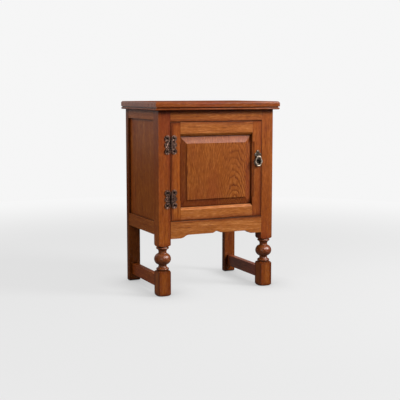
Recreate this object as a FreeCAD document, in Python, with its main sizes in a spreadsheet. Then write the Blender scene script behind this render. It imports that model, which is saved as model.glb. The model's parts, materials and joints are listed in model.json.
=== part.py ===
import FreeCAD, Part
import math
import os
import re
import Sketcher

# Storage side table with one door: a framed cupboard on two turned front legs and two plain rear posts.
# Millimetres, +Z up, origin on the floor under the middle of the top, front towards -Y.
SIZES = {
    # the whole piece
    "total_height": 640.0,
    "case_width": 424.0,
    "case_depth": 299.0,
    # moulded top: round-over, flat edge, quirk and bead, from the top down
    "top_thickness": 27.5,
    "top_side_overhang": 16.5,
    "top_front_overhang": 19.5,
    "top_back_overhang": 1.5,
    "top_roundover": 7.0,
    "top_edge_height": 17.5,
    "top_quirk_height": 3.0,
    "top_quirk_depth": 4.0,
    "top_bead_projection": 3.4,
    # posts, and the joints that every rail shares
    "post_width": 42.0,
    "rear_post_depth": 21.0,
    "rear_foot_chamfer": 3.0,
    "tenon_thickness": 8.0,
    "tenon_length": 14.0,
    "tenon_shoulder": 8.0,
    "mortise_spare": 1.0,
    "groove_depth": 7.0,
    "groove_spare": 0.5,
    "groove_clearance": 0.1,
    # foot block of the front legs, and the turned part from there up to the post
    "foot_height": 84.5,
    "shoulder_height": 8.5,
    "shoulder_radius": 20.0,
    "toe_height": 8.0,
    "toe_radius": 20.5,
    "fillet_height": 1.5,
    "fillet_radius": 18.5,
    "collar_height": 7.5,
    "collar_radius": 21.2,
    "collar_edge_radius": 18.0,
    "lower_cove_height": 11.0,
    "upper_cove_height": 14.5,
    "cove_depth": 2.6,
    "bulb_height": 37.5,
    "bulb_radius": 28.0,
    "bulb_edge_radius": 14.5,
    "spigot_radius": 9.0,
    "spigot_length": 18.0,
    "spigot_clearance": 0.1,
    # side frames, from the lower end of the posts' squares, and stretchers, from the foot blocks' tops
    "side_rail_inset": 1.0,
    "side_rail_thickness": 20.0,
    "side_top_rail_height": 31.5,
    "bottom_rail_rise": 36.5,
    "bottom_rail_height": 43.0,
    "side_panel_inset": 8.5,
    "side_panel_thickness": 7.0,
    "stretcher_drop": 21.5,
    "stretcher_height": 39.0,
    "stretcher_thickness": 20.0,
    # front frame and its shaped apron, from the lower end of the posts' squares
    "front_rail_thickness": 22.0,
    "front_rail_height": 37.0,
    "apron_rise": 24.5,
    "apron_end_height": 57.5,
    "apron_end_run": 35.0,
    "apron_ogee_run": 32.0,
    "apron_ogee_rise": 10.3,
    "apron_cusp_run": 17.5,
    "apron_cusp_rise": 6.0,
    # back frame
    "back_rail_thickness": 18.0,
    "back_top_rail_height": 45.0,
    "back_panel_thickness": 5.0,
    # cupboard floor and its cleats
    "floor_thickness": 9.0,
    "floor_drop": 0.5,
    "floor_clearance": 0.3,
    "cleat_size": 16.0,
    # buttons under the top
    "button_width": 24.0,
    "button_reach": 30.0,
    "button_height": 16.0,
    "button_tongue_drop": 6.0,
    "button_tongue_height": 5.0,
    "button_tongue_length": 6.0,
    "button_groove_depth": 7.0,
    "button_screw_radius": 2.0,
    "button_screw_head_radius": 4.0,
    "button_screw_head_height": 2.2,
    "button_screw_length": 30.0,
    # door frame
    "door_gap": 1.5,
    "door_thickness": 22.0,
    "stile_width": 34.5,
    "door_top_rail_width": 46.0,
    "door_bottom_rail_width": 43.0,
    "chamfer_width": 8.0,
    "chamfer_depth": 6.0,
    "chamfer_stop": 24.0,
    # raised and fielded door panel, depths measured from the door's face
    "field_setback": 3.0,
    "field_step": 1.5,
    "bevel_width": 24.5,
    "bevel_setback": 11.5,
    "door_tongue_thickness": 5.0,
    # hinges
    "hinge_end_distance": 73.5,
    "hinge_axis_proud": 3.2,
    "barrel_radius": 2.9,
    "barrel_length": 27.0,
    "knuckle_gap": 0.3,
    "running_clearance": 0.05,
    "pin_radius": 1.3,
    "pin_head_radius": 2.4,
    "pin_head_height": 1.6,
    "leaf_thickness": 2.0,
    "leaf_width": 22.0,
    "leaf_height": 62.0,
    "leaf_root": 3.5,
    "leaf_waist": 16.0,
    "lobe_radius": 10.0,
    "middle_lobe_radius": 9.0,
    "hinge_screw_radius": 1.4,
    "hinge_screw_head_radius": 2.8,
    "hinge_screw_head_height": 0.9,
    "hinge_screw_length": 14.0,
    # drop pull: plate, stud with an eye, and ring, placed by the eye from the door's top and free edges
    "pull_drop": 122.0,
    "pull_inset": 15.0,
    "plate_thickness": 2.5,
    "plate_drop": 32.0,
    "plate_rise": 23.0,
    "plate_disc_radius": 14.5,
    "plate_neck_width": 15.0,
    "plate_lobe_radius": 5.2,
    "plate_lobe_spread": 7.5,
    "plate_lobe_rise": 8.0,
    "plate_finial_radius": 4.6,
    "plate_piercing_radius": 2.0,
    "plate_piercing_spread": 5.6,
    "plate_pin_radius": 0.9,
    "plate_pin_head_radius": 1.8,
    "plate_pin_head_height": 0.8,
    "plate_pin_length": 10.0,
    "pull_stand": 8.5,
    "eye_radius": 4.4,
    "eye_length": 5.0,
    "stud_neck_radius": 3.2,
    "stud_flange_radius": 5.0,
    "stud_flange_height": 1.5,
    "stud_shank_radius": 2.0,
    "stud_shank_spare": 1.5,
    "stud_clearance": 0.1,
    "nut_radius": 5.2,
    "nut_height": 4.0,
    "ring_width": 31.0,
    "ring_height": 35.0,
    "ring_flat": 14.0,
    "ring_section": 5.0,
    "ring_clearance": 0.15,
    "ring_corner_radius": 2.5,
    # magnetic catch on the post, strike on the door, with their middle below the door's top edge
    "catch_drop": 54.0,
    "catch_width": 12.0,
    "catch_depth": 15.0,
    "catch_length": 46.0,
    "catch_wall": 1.5,
    "catch_window": 28.0,
    "catch_screw_radius": 1.4,
    "catch_screw_head_radius": 2.6,
    "catch_screw_head_height": 1.2,
    "catch_screw_length": 22.0,
    "catch_screw_end_distance": 4.5,
    "pole_thickness": 1.5,
    "pole_projection": 1.2,
    "magnet_setback": 2.0,
    "strike_thickness": 1.2,
    "strike_width": 9.0,
    "strike_length": 44.0,
    "strike_gap": 0.3,
    "strike_screw_radius": 1.1,
    "strike_screw_head_radius": 2.2,
    "strike_screw_head_height": 0.8,
    "strike_screw_length": 9.0,
    "strike_screw_end_distance": 5.0,
    # room round every screw and pin in its hole
    "screw_clearance": 0.05,
    # empty depth that cuts run past a face
    "overrun": 2.0,
}

# Places and sizes that follow from the ones above.
DERIVED = {
    "top_width": "case_width + 2 * top_side_overhang",
    "top_depth": "case_depth + top_front_overhang + top_back_overhang",
    "top_under": "total_height - top_thickness",
    "bead_height": "top_thickness - top_edge_height - top_quirk_height",
    "turning_length": "2 * fillet_height + 2 * collar_height + lower_cove_height + bulb_height"
                      " + upper_cove_height",
    "square_low": "foot_height + turning_length",
    "side_face": "case_width / 2",
    "front_face": "top_front_overhang - top_depth / 2",
    "back_face": "front_face + case_depth",
    "half_post": "post_width / 2",
    "half_rear_post": "rear_post_depth / 2",
    "post_axis": "side_face - half_post",
    "front_post_axis": "front_face + half_post",
    "rear_post_axis": "back_face - half_rear_post",
    "opening_side": "side_face - post_width",
    "side_start": "front_face + post_width",
    "side_end": "back_face - rear_post_depth",
    "mortise_depth": "tenon_length + mortise_spare",
    "tongue_length": "groove_depth - groove_spare",
    "side_rail_inner": "side_face - side_rail_inset - side_rail_thickness",
    "side_tenon": "side_rail_inner + (side_rail_thickness - tenon_thickness) / 2",
    "side_panel_inner": "side_face - side_panel_inset - side_panel_thickness",
    "side_top_rail_low": "top_under - side_top_rail_height",
    "bottom_rail_low": "square_low + bottom_rail_rise",
    "bottom_rail_top": "bottom_rail_low + bottom_rail_height",
    "stretcher_top": "foot_height - stretcher_drop",
    "stretcher_low": "stretcher_top - stretcher_height",
    "front_rail_low": "top_under - front_rail_height",
    "front_tenon": "(front_rail_thickness - tenon_thickness) / 2",
    "apron_low": "square_low + apron_rise",
    "apron_top": "apron_low + apron_end_height",
    "apron_arch": "apron_low + apron_ogee_rise",
    "apron_ogee_start": "opening_side - apron_end_run",
    "apron_ogee_end": "apron_ogee_start - apron_ogee_run",
    "back_tenon": "side_end + (back_rail_thickness - tenon_thickness) / 2",
    "back_top_rail_low": "top_under - back_top_rail_height",
    "back_panel_front": "side_end + (back_rail_thickness - back_panel_thickness) / 2",
    "floor_top": "apron_top - floor_drop",
    "floor_under": "floor_top - floor_thickness",
    "floor_front": "front_face + front_rail_thickness + floor_clearance",
    "door_side": "opening_side - door_gap",
    "door_top": "front_rail_low - door_gap",
    "door_low": "apron_top + door_gap",
    "panel_side": "door_side - stile_width",
    "panel_low": "door_low + door_bottom_rail_width",
    "panel_top": "door_top - door_top_rail_width",
    "door_groove": "bevel_setback - groove_clearance",
    "door_groove_width": "door_tongue_thickness + 2 * groove_clearance",
    "door_tenon": "(door_thickness - tenon_thickness) / 2",
    "hinge_axis": "door_gap / 2 - opening_side",
    "leaf_lobe_side": "leaf_width - lobe_radius",
    "leaf_lobe_rise": "leaf_height / 2 - lobe_radius",
    "pull_side": "door_side - pull_inset",
    "pull_height": "door_top - pull_drop",
    "plate_disc_drop": "plate_drop - plate_disc_radius",
    "plate_finial_rise": "plate_rise - plate_finial_radius",
    "half_flat": "ring_flat / 2",
    "half_ring": "ring_height / 2",
    "ring_slant": "(ring_width - ring_flat) / ring_height",
    "ring_inner_side": "ring_width / 2 - ring_section * sqrt(1 + ring_slant * ring_slant)",
    "ring_inner_half": "half_ring - ring_section",
    "ring_inner_flat": "ring_inner_side - ring_slant * ring_inner_half",
    "ring_axis": "pull_height - half_ring + ring_section / 2",
    "pole_face": "front_face + door_thickness + strike_thickness + strike_gap",
    "catch_face": "pole_face + pole_projection",
    "catch_side": "opening_side - catch_width",
    "catch_middle": "opening_side - catch_width / 2",
    "catch_height": "door_top - catch_drop",
}

SIDES = (("left", -1), ("right", 1))
HINGES = (("upper", "door_top - hinge_end_distance"), ("lower", "door_low + hinge_end_distance"))
KNUCKLES = 5
BUTTON_SHARES = (0.22, 0.78)
RIM_SHARE = 0.46
# Each plane's normal along or against its axis.
PLANES = {"XY": 1, "XZ": -1, "YZ": 1}
NAMES = re.compile(r"[a-z][a-z_]+")
DRIVES = {
    "back": FreeCAD.Vector(0, 1, 0),
    "front": FreeCAD.Vector(0, -1, 0),
    "right": FreeCAD.Vector(1, 0, 0),
    "up": FreeCAD.Vector(0, 0, 1),
}

doc = FreeCAD.newDocument("side_table")
sheet = doc.addObject("Spreadsheet::Sheet", "Sizes")
nodes = []


def fill_sheet():
    """One row for each driving size: its name, and the value that carries the name as alias."""
    for row, (name, size) in enumerate(SIZES.items(), start=1):
        sheet.set(f"A{row}", name)
        sheet.set(f"B{row}", str(size))
        sheet.setAlias(f"B{row}", name)
    doc.recompute()


def bound(text):
    """The expression with every name replaced by its cell, or by what it is worked out from."""
    def cell(match):
        name = match.group()
        if name == "sqrt":
            return name
        return f"({bound(DERIVED[name])})" if name in DERIVED else f"Sizes.{name}"
    return NAMES.sub(cell, text)


def number(text):
    return float(sheet.evalExpression(bound(text)))


def place(item, x, y, z):
    """Binds the object's position to the sheet."""
    for axis, text in zip("xyz", (x, y, z)):
        item.setExpression(f".Placement.Base.{axis}", bound(text))


def body(label, x="0", y="0", z="0"):
    made = doc.addObject("PartDesign::Body", label)
    made.Label = label
    place(made, x, y, z)
    nodes.append(made)
    return made


def sketch(owner, name, plane, start="0"):
    """A sketch on one of the body's own planes, moved along the axis to start."""
    made = owner.newObject("Sketcher::SketchObject", f"{owner.Label}_{name}_sketch")
    planes = {feature.Role: feature for feature in owner.Origin.OriginFeatures}
    made.AttachmentSupport = [(planes[f"{plane}_Plane"], "")]
    made.MapMode = "FlatFace"
    made.setExpression("AttachmentOffset.Base.z", bound(f"{PLANES[plane]} * ({start})"))
    return made


def bind_datum(drawing, constraint, text):
    index = drawing.addConstraint(constraint)
    drawing.setExpression(f"Constraints[{index}]", bound(text))


def pin(drawing, edge, end, x, y):
    """Holds one end of an edge at a point given by two expressions."""
    for kind, axis, text in (("DistanceX", -2, x), ("DistanceY", -1, y)):
        if text == "0":
            drawing.addConstraint(Sketcher.Constraint("PointOnObject", edge, end, axis))
        else:
            bind_datum(drawing, Sketcher.Constraint(kind, -1, 1, edge, end, number(text)), text)


def arc_between(start, stop, radius, turn):
    """The arc of less than a half circle from start to stop, with its centre on the left for turn 1."""
    chord = stop - start
    rise = math.sqrt(max(radius ** 2 - chord.Length ** 2 / 4, 0))
    left = FreeCAD.Vector(-chord.y, chord.x, 0).normalize()
    centre = (start + stop) / 2 + left * rise * turn
    first, last = (start, stop) if turn > 0 else (stop, start)
    angles = [math.atan2(point.y - centre.y, point.x - centre.x) for point in (first, last)]
    circle = Part.Circle(centre, FreeCAD.Vector(0, 0, 1), radius)
    return Part.ArcOfCircle(circle, angles[0], angles[1])


def outline(drawing, corners):
    """A closed outline of (x, y) corners. (x, y, radius, turn) reaches its corner by an arc."""
    points = [FreeCAD.Vector(number(corner[0]), number(corner[1]), 0) for corner in corners]
    ends = []
    for index, corner in enumerate(corners):
        start, stop = points[index - 1], points[index]
        if len(corner) == 2:
            edge = drawing.addGeometry(Part.LineSegment(start, stop), False)
            ends.append((edge, 1, 2))
        else:
            radius, turn = corner[2:]
            edge = drawing.addGeometry(arc_between(start, stop, number(radius), turn), False)
            bind_datum(drawing, Sketcher.Constraint("Radius", edge, number(radius)), radius)
            ends.append((edge, 1, 2) if turn > 0 else (edge, 2, 1))
        pin(drawing, edge, ends[-1][2], corner[0], corner[1])
    for index, (edge, start, _) in enumerate(ends):
        before = ends[index - 1]
        drawing.addConstraint(Sketcher.Constraint("Coincident", before[0], before[2], edge, start))


def rectangle(drawing, x, y):
    outline(drawing, [(x[0], y[0]), (x[1], y[0]), (x[1], y[1]), (x[0], y[1])])


def circle(drawing, x, y, radius):
    start = FreeCAD.Vector(number(x), number(y), 0)
    edge = drawing.addGeometry(Part.Circle(start, FreeCAD.Vector(0, 0, 1), number(radius)), False)
    pin(drawing, edge, 3, x, y)
    bind_datum(drawing, Sketcher.Constraint("Radius", edge, number(radius)), radius)


def extrude(owner, drawing, name, plane, length, cut=False):
    """Pads or pockets a sketch along its plane's positive axis."""
    kind = "PartDesign::Pocket" if cut else "PartDesign::Pad"
    feature = owner.newObject(kind, f"{owner.Label}_{name}")
    feature.Profile = drawing
    feature.Reversed = (PLANES[plane] > 0) == cut
    feature.setExpression("Length", bound(length))
    drawing.Visibility = False
    return feature


def turn(owner, drawing, name, cut=False):
    """Revolves a sketch about its own vertical axis."""
    kind = "PartDesign::Groove" if cut else "PartDesign::Revolution"
    feature = owner.newObject(kind, f"{owner.Label}_{name}")
    feature.Profile = drawing
    feature.ReferenceAxis = (drawing, ["V_Axis"])
    return feature


def dress(owner, kind, name, size, wanted):
    """A fillet or chamfer on the edges whose boxes are wanted."""
    doc.recompute()
    base = owner.Tip
    edges = [f"Edge{index}" for index, edge in enumerate(base.Shape.Edges, start=1) if wanted(edge.BoundBox)]
    feature = owner.newObject(f"PartDesign::{kind}", f"{owner.Label}_{name}")
    feature.Base = (base, edges)
    feature.setExpression("Radius" if kind == "Fillet" else "Size", bound(size))


def block(owner, name, x, y, z, cut=False):
    """Adds or cuts a box between two expressions on each axis."""
    drawing = sketch(owner, name, "XY", z[0])
    rectangle(drawing, x, y)
    extrude(owner, drawing, name, "XY", f"{z[1]} - ({z[0]})", cut)


def prism(owner, name, plane, corners, start, length, cut=False):
    """Adds or cuts an outline drawn on a plane."""
    drawing = sketch(owner, name, plane, start)
    outline(drawing, corners)
    extrude(owner, drawing, name, plane, length, cut)


def disc(owner, name, plane, centre, radius, start, length, cut=False):
    """Adds or cuts a round along a plane's axis."""
    drawing = sketch(owner, name, plane, start)
    circle(drawing, centre[0], centre[1], radius)
    extrude(owner, drawing, name, plane, length, cut)


def spread(side, low, high):
    """A range on the X axis, mirrored for the left side."""
    return f"{side} * ({low})", f"{side} * ({high})"


def arc_radius(chord, rise):
    """Radius of the arc that stands rise above a chord."""
    return f"(({chord}) * ({chord}) / 4 + ({rise}) * ({rise})) / (2 * ({rise}))"


def ogee_radius(run, rise):
    """Radius of the two equal arcs of an ogee that is level at both ends."""
    return f"(({run}) * ({run}) + ({rise}) * ({rise})) / (4 * ({rise}))"


def bar(name, kind, sizes, x, y, z, along=None):
    """A Part primitive with its sizes bound, turned along a direction."""
    made = doc.addObject(f"Part::{kind}", name)
    for prop, text in sizes.items():
        made.setExpression(prop, bound(text))
    if along is not None:
        made.Placement = FreeCAD.Placement(FreeCAD.Vector(), FreeCAD.Rotation(FreeCAD.Vector(0, 0, 1), along))
    place(made, x, y, z)
    return made


def fused(name, shapes):
    made = doc.addObject("Part::MultiFuse", name)
    made.Shapes = shapes
    return made


def less(name, base, tool):
    made = doc.addObject("Part::Cut", name)
    made.Base = base
    made.Tool = tool
    return made


def node(made, label):
    made.Label = label
    nodes.append(made)


def group(label, shapes):
    made = doc.addObject("Part::Compound", label)
    made.Links = shapes
    node(made, label)


def fasteners(label, kind, seats, drive):
    """Screws or pins with slightly domed heads on the given seats, all driven the same way."""
    along = DRIVES[drive]
    made = []
    for index, seat in enumerate(seats):
        name = f"{label}_{index}"
        shank = {"Radius": f"{kind}_radius", "Height": f"{kind}_length"}
        dome = {
            "Radius1": f"({kind}_head_radius + {kind}_radius) / 2",
            "Radius2": f"{kind}_head_radius",
            "Height": f"{kind}_head_height",
        }
        top = [f"{text} - {step} * {kind}_head_height" for text, step in zip(seat, along)]
        made.append(fused(name, [
            bar(f"{name}_shank", "Cylinder", shank, *seat, along),
            bar(f"{name}_head", "Cone", dome, *top, along),
        ]))
    group(label, made)


def table_top():
    """Solid board with one moulding along the front and both ends, mitred at the corners."""
    top = body("table_top", z="top_under")
    half_width, half_depth = "top_width / 2", "top_depth / 2"
    board = (f"-{half_width}", half_width), (f"-{half_depth}", half_depth), ("0", "top_thickness")
    block(top, "board", *board)

    def moulding(edge, sign):
        """What the cutter takes away, drawn inward from an edge."""
        def at(depth, height, *arc):
            return (f"{edge} - {sign} * ({depth})", height, *arc)
        quirk_low = "bead_height"
        bead = arc_radius("bead_height", "top_bead_projection")
        return [
            at("-overrun", "-overrun"),
            at("top_quirk_depth", "-overrun"),
            at("top_quirk_depth", "0"),
            at("top_quirk_depth", quirk_low, bead, sign),
            at("top_quirk_depth", f"{quirk_low} + top_quirk_height"),
            at("0", f"{quirk_low} + top_quirk_height"),
            at("0", "top_thickness - top_roundover"),
            at("top_roundover", "top_thickness", "top_roundover", sign),
            at("top_roundover", "top_thickness + overrun"),
            at("-overrun", "top_thickness + overrun"),
        ]

    for side, sign in SIDES:
        edge = f"{sign} * {half_width}"
        prism(top, f"{side}_moulding", "XZ", moulding(edge, sign),
              f"-{half_depth} - overrun", "top_depth + 2 * overrun", cut=True)
    prism(top, "front_moulding", "YZ", moulding(f"-{half_depth}", -1),
          f"-{half_width} - overrun", "top_width + 2 * overrun", cut=True)


def turned_end(owner, kind, level, step):
    """Rounds a square's corners off towards its end at level, where step points into the square."""
    drawing = sketch(owner, kind, "XZ")
    radius, height = f"{kind}_radius", f"{kind}_height"
    corner = "half_post * sqrt(2) + overrun"
    inside = f"{level} + {step} * {height}"
    outside = f"{level} - {step} * overrun"
    drop = f"{corner} - {radius}"
    bulge = f"sqrt(({drop}) * ({drop}) + {height} * {height})"
    outline(drawing, [
        (radius, outside),
        (radius, level),
        (corner, inside, bulge, step),
        (f"{corner} + overrun", inside),
        (f"{corner} + overrun", outside),
    ])
    turn(owner, drawing, kind, cut=True)


def front_posts():
    """Square posts with mortises for the front and side rails and a groove for the side panel."""
    half = ("-half_post", "half_post")
    back = ("half_post - mortise_depth", "half_post")
    for side, sign in SIDES:
        post = body(f"front_{side}_post", f"{sign} * post_axis", "front_post_axis")
        block(post, "square", half, half, ("square_low", "top_under"))
        turned_end(post, "shoulder", "square_low", 1)
        disc(post, "spigot_hole", "XY", ("0", "0"), "spigot_radius + spigot_clearance",
             "square_low", "spigot_length + mortise_spare", cut=True)
        inner = spread(-sign, "half_post - mortise_depth", "half_post")
        front = "front_tenon - half_post", "front_tenon + tenon_thickness - half_post"
        block(post, "top_rail_mortise", inner, front,
              ("front_rail_low + tenon_shoulder", "top_under - tenon_shoulder"), cut=True)
        block(post, "apron_mortise", inner, front,
              ("apron_low + tenon_shoulder", "apron_top - tenon_shoulder"), cut=True)
        cheek = spread(sign, "side_tenon - post_axis", "side_tenon + tenon_thickness - post_axis")
        block(post, "side_top_mortise", cheek, back,
              ("side_top_rail_low + tenon_shoulder", "top_under - tenon_shoulder"), cut=True)
        block(post, "side_bottom_mortise", cheek, back,
              ("bottom_rail_low + tenon_shoulder", "bottom_rail_top - tenon_shoulder"), cut=True)
        slot = spread(sign, "side_panel_inner - groove_clearance - post_axis",
                      "side_panel_inner + side_panel_thickness + groove_clearance - post_axis")
        block(post, "panel_groove", slot, ("half_post - groove_depth", "half_post"),
              ("bottom_rail_top - groove_depth", "side_top_rail_low + groove_depth"), cut=True)
        if sign < 0:
            hinge_holes(post, -1, "post_axis", "-half_post")
        else:
            for index, level in enumerate(catch_screw_levels()):
                centre = ("catch_face + catch_depth / 2 - front_post_axis", level)
                disc(post, f"catch_hole_{index}", "YZ", centre, "catch_screw_radius + screw_clearance",
                     "-half_post", "catch_screw_length - catch_width + mortise_spare", cut=True)


def balusters():
    """Turned bulb between two collars, with a spigot at each end."""
    collar = arc_radius("collar_height", "collar_radius - collar_edge_radius")
    bulb = arc_radius("bulb_height", "bulb_radius - bulb_edge_radius")
    step = "(collar_edge_radius - bulb_edge_radius)"

    def cove(height):
        return arc_radius(f"sqrt(({height}) * ({height}) + {step} * {step})", "cove_depth")

    for side, sign in SIDES:
        baluster = body(f"front_{side}_baluster", f"{sign} * post_axis", "front_post_axis", "foot_height")
        drawing = sketch(baluster, "profile", "XZ")
        lower_collar = "fillet_height + collar_height"
        bulb_low = f"{lower_collar} + lower_cove_height"
        upper_collar = "turning_length - fillet_height"
        outline(drawing, [
            ("0", "-spigot_length"),
            ("spigot_radius", "-spigot_length"),
            ("spigot_radius", "0"),
            ("fillet_radius", "0"),
            ("fillet_radius", "fillet_height"),
            ("collar_edge_radius", "fillet_height"),
            ("collar_edge_radius", lower_collar, collar, 1),
            ("bulb_edge_radius", bulb_low, cove("lower_cove_height"), -1),
            ("bulb_edge_radius", f"{bulb_low} + bulb_height", bulb, 1),
            ("collar_edge_radius", f"{upper_collar} - collar_height", cove("upper_cove_height"), -1),
            ("collar_edge_radius", upper_collar, collar, 1),
            ("fillet_radius", upper_collar),
            ("fillet_radius", "turning_length"),
            ("spigot_radius", "turning_length"),
            ("spigot_radius", "turning_length + spigot_length"),
            ("0", "turning_length + spigot_length"),
        ])
        turn(baluster, drawing, "turning")


def feet():
    """Foot blocks with a turned shoulder, a turned toe and the stretcher's mortise."""
    half = ("-half_post", "half_post")
    for side, sign in SIDES:
        foot = body(f"front_{side}_foot", f"{sign} * post_axis", "front_post_axis")
        block(foot, "square", half, half, ("0", "foot_height"))
        turned_end(foot, "shoulder", "foot_height", -1)
        turned_end(foot, "toe", "0", 1)
        disc(foot, "spigot_hole", "XY", ("0", "0"), "spigot_radius + spigot_clearance",
             "foot_height - spigot_length - mortise_spare", "spigot_length + mortise_spare", cut=True)
        block(foot, "stretcher_mortise", ("-tenon_thickness / 2", "tenon_thickness / 2"),
              ("half_post - mortise_depth", "half_post"),
              ("stretcher_low + tenon_shoulder", "stretcher_top - tenon_shoulder"), cut=True)


def rear_posts():
    """Plain rear posts from the top down to the floor."""
    front = ("-half_rear_post", "mortise_depth - half_rear_post")
    for side, sign in SIDES:
        post = body(f"rear_{side}_post", f"{sign} * post_axis", "rear_post_axis")
        block(post, "post", ("-half_post", "half_post"), ("-half_rear_post", "half_rear_post"),
              ("0", "top_under"))
        dress(post, "Chamfer", "foot", "rear_foot_chamfer",
              lambda box: box.ZMax < number("rear_foot_chamfer"))
        cheek = spread(sign, "side_tenon - post_axis", "side_tenon + tenon_thickness - post_axis")
        block(post, "side_top_mortise", cheek, front,
              ("side_top_rail_low + tenon_shoulder", "top_under - tenon_shoulder"), cut=True)
        block(post, "side_bottom_mortise", cheek, front,
              ("bottom_rail_low + tenon_shoulder", "bottom_rail_top - tenon_shoulder"), cut=True)
        block(post, "stretcher_mortise", ("-tenon_thickness / 2", "tenon_thickness / 2"), front,
              ("stretcher_low + tenon_shoulder", "stretcher_top - tenon_shoulder"), cut=True)
        slot = spread(sign, "side_panel_inner - groove_clearance - post_axis",
                      "side_panel_inner + side_panel_thickness + groove_clearance - post_axis")
        block(post, "side_groove", slot, ("-half_rear_post", "groove_depth - half_rear_post"),
              ("bottom_rail_top - groove_depth", "side_top_rail_low + groove_depth"), cut=True)
        inner = spread(-sign, "half_post - mortise_depth", "half_post")
        back = "back_tenon - rear_post_axis", "back_tenon + tenon_thickness - rear_post_axis"
        block(post, "back_top_mortise", inner, back,
              ("back_top_rail_low + tenon_shoulder", "top_under - tenon_shoulder"), cut=True)
        block(post, "back_bottom_mortise", inner, back,
              ("bottom_rail_low + tenon_shoulder", "bottom_rail_top - tenon_shoulder"), cut=True)
        back_slot = ("back_panel_front - groove_clearance - rear_post_axis",
                     "back_panel_front + back_panel_thickness + groove_clearance - rear_post_axis")
        block(post, "back_groove", spread(-sign, "half_post - groove_depth", "half_post"), back_slot,
              ("bottom_rail_top - groove_depth", "back_top_rail_low + groove_depth"), cut=True)


def side_rails():
    """Top and bottom rails of the side frames, with a groove for the panel and one for the buttons."""
    length = "side_end - side_start"
    tenon = "(side_rail_thickness - tenon_thickness) / 2"
    for side, sign in SIDES:
        slot = spread(sign, "side_panel_inner - groove_clearance - side_rail_inner",
                      "side_panel_inner + side_panel_thickness + groove_clearance - side_rail_inner")
        for level, low, height in (("top", "side_top_rail_low", "side_top_rail_height"),
                                   ("bottom", "bottom_rail_low", "bottom_rail_height")):
            rail = body(f"{side}_{level}_rail", f"{sign} * side_rail_inner", "side_start", low)
            block(rail, "rail", spread(sign, "0", "side_rail_thickness"), ("0", length), ("0", height))
            block(rail, "tenons", spread(sign, tenon, f"{tenon} + tenon_thickness"),
                  ("-tenon_length", f"{length} + tenon_length"),
                  ("tenon_shoulder", f"{height} - tenon_shoulder"))
            groove = ("0", "groove_depth") if level == "top" else (f"{height} - groove_depth", height)
            block(rail, "panel_groove", slot, ("0", length), groove, cut=True)
            if level == "top":
                tongue_low = f"{height} - button_tongue_drop - button_tongue_height"
                block(rail, "button_groove", spread(sign, "0", "button_groove_depth"), ("0", length),
                      (tongue_low, f"{height} - button_tongue_drop"), cut=True)
        panel = body(f"{side}_side_panel", f"{sign} * side_panel_inner", "side_start", "bottom_rail_top")
        block(panel, "board", spread(sign, "0", "side_panel_thickness"),
              ("-tongue_length", f"{length} + tongue_length"),
              ("-tongue_length", "side_top_rail_low - bottom_rail_top + tongue_length"))
        stretcher = body(f"{side}_stretcher", f"{sign} * post_axis", "side_start", "stretcher_low")
        block(stretcher, "rail", ("-stretcher_thickness / 2", "stretcher_thickness / 2"),
              ("0", length), ("0", "stretcher_height"))
        block(stretcher, "tenons", ("-tenon_thickness / 2", "tenon_thickness / 2"),
              ("-tenon_length", f"{length} + tenon_length"),
              ("tenon_shoulder", "stretcher_height - tenon_shoulder"))


def front_rails():
    """Plain rail over the door, and the apron under it with ogee ends and a small cusp in the middle."""
    tenons = ("-opening_side - tenon_length", "opening_side + tenon_length")
    cheek = ("front_tenon", "front_tenon + tenon_thickness")
    rail = body("front_top_rail", y="front_face", z="front_rail_low")
    block(rail, "rail", ("-opening_side", "opening_side"), ("0", "front_rail_thickness"),
          ("0", "front_rail_height"))
    block(rail, "tenons", tenons, cheek, ("tenon_shoulder", "front_rail_height - tenon_shoulder"))

    apron = body("front_apron", y="front_face")
    swell = ogee_radius("apron_ogee_run", "apron_ogee_rise")
    cusp = ogee_radius("apron_cusp_run", "apron_cusp_rise")
    half_rise = "apron_low + apron_ogee_rise / 2"
    half_ogee = "apron_ogee_start - apron_ogee_run / 2"
    half_cusp = "apron_arch + apron_cusp_rise / 2"
    prism(apron, "board", "XZ", [
        ("-opening_side", "apron_top"),
        ("-opening_side", "apron_low"),
        ("-(apron_ogee_start)", "apron_low"),
        (f"-({half_ogee})", half_rise, swell, 1),
        ("-(apron_ogee_end)", "apron_arch", swell, -1),
        ("-apron_cusp_run", "apron_arch"),
        ("-apron_cusp_run / 2", half_cusp, cusp, 1),
        ("0", "apron_arch + apron_cusp_rise", cusp, -1),
        ("apron_cusp_run / 2", half_cusp, cusp, -1),
        ("apron_cusp_run", "apron_arch", cusp, 1),
        ("apron_ogee_end", "apron_arch"),
        (half_ogee, half_rise, swell, -1),
        ("apron_ogee_start", "apron_low", swell, 1),
        ("opening_side", "apron_low"),
        ("opening_side", "apron_top"),
    ], "0", "front_rail_thickness")
    for side, sign in SIDES:
        block(apron, f"{side}_tenon", spread(sign, "opening_side", "opening_side + tenon_length"), cheek,
              ("apron_low + tenon_shoulder", "apron_top - tenon_shoulder"))


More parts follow.
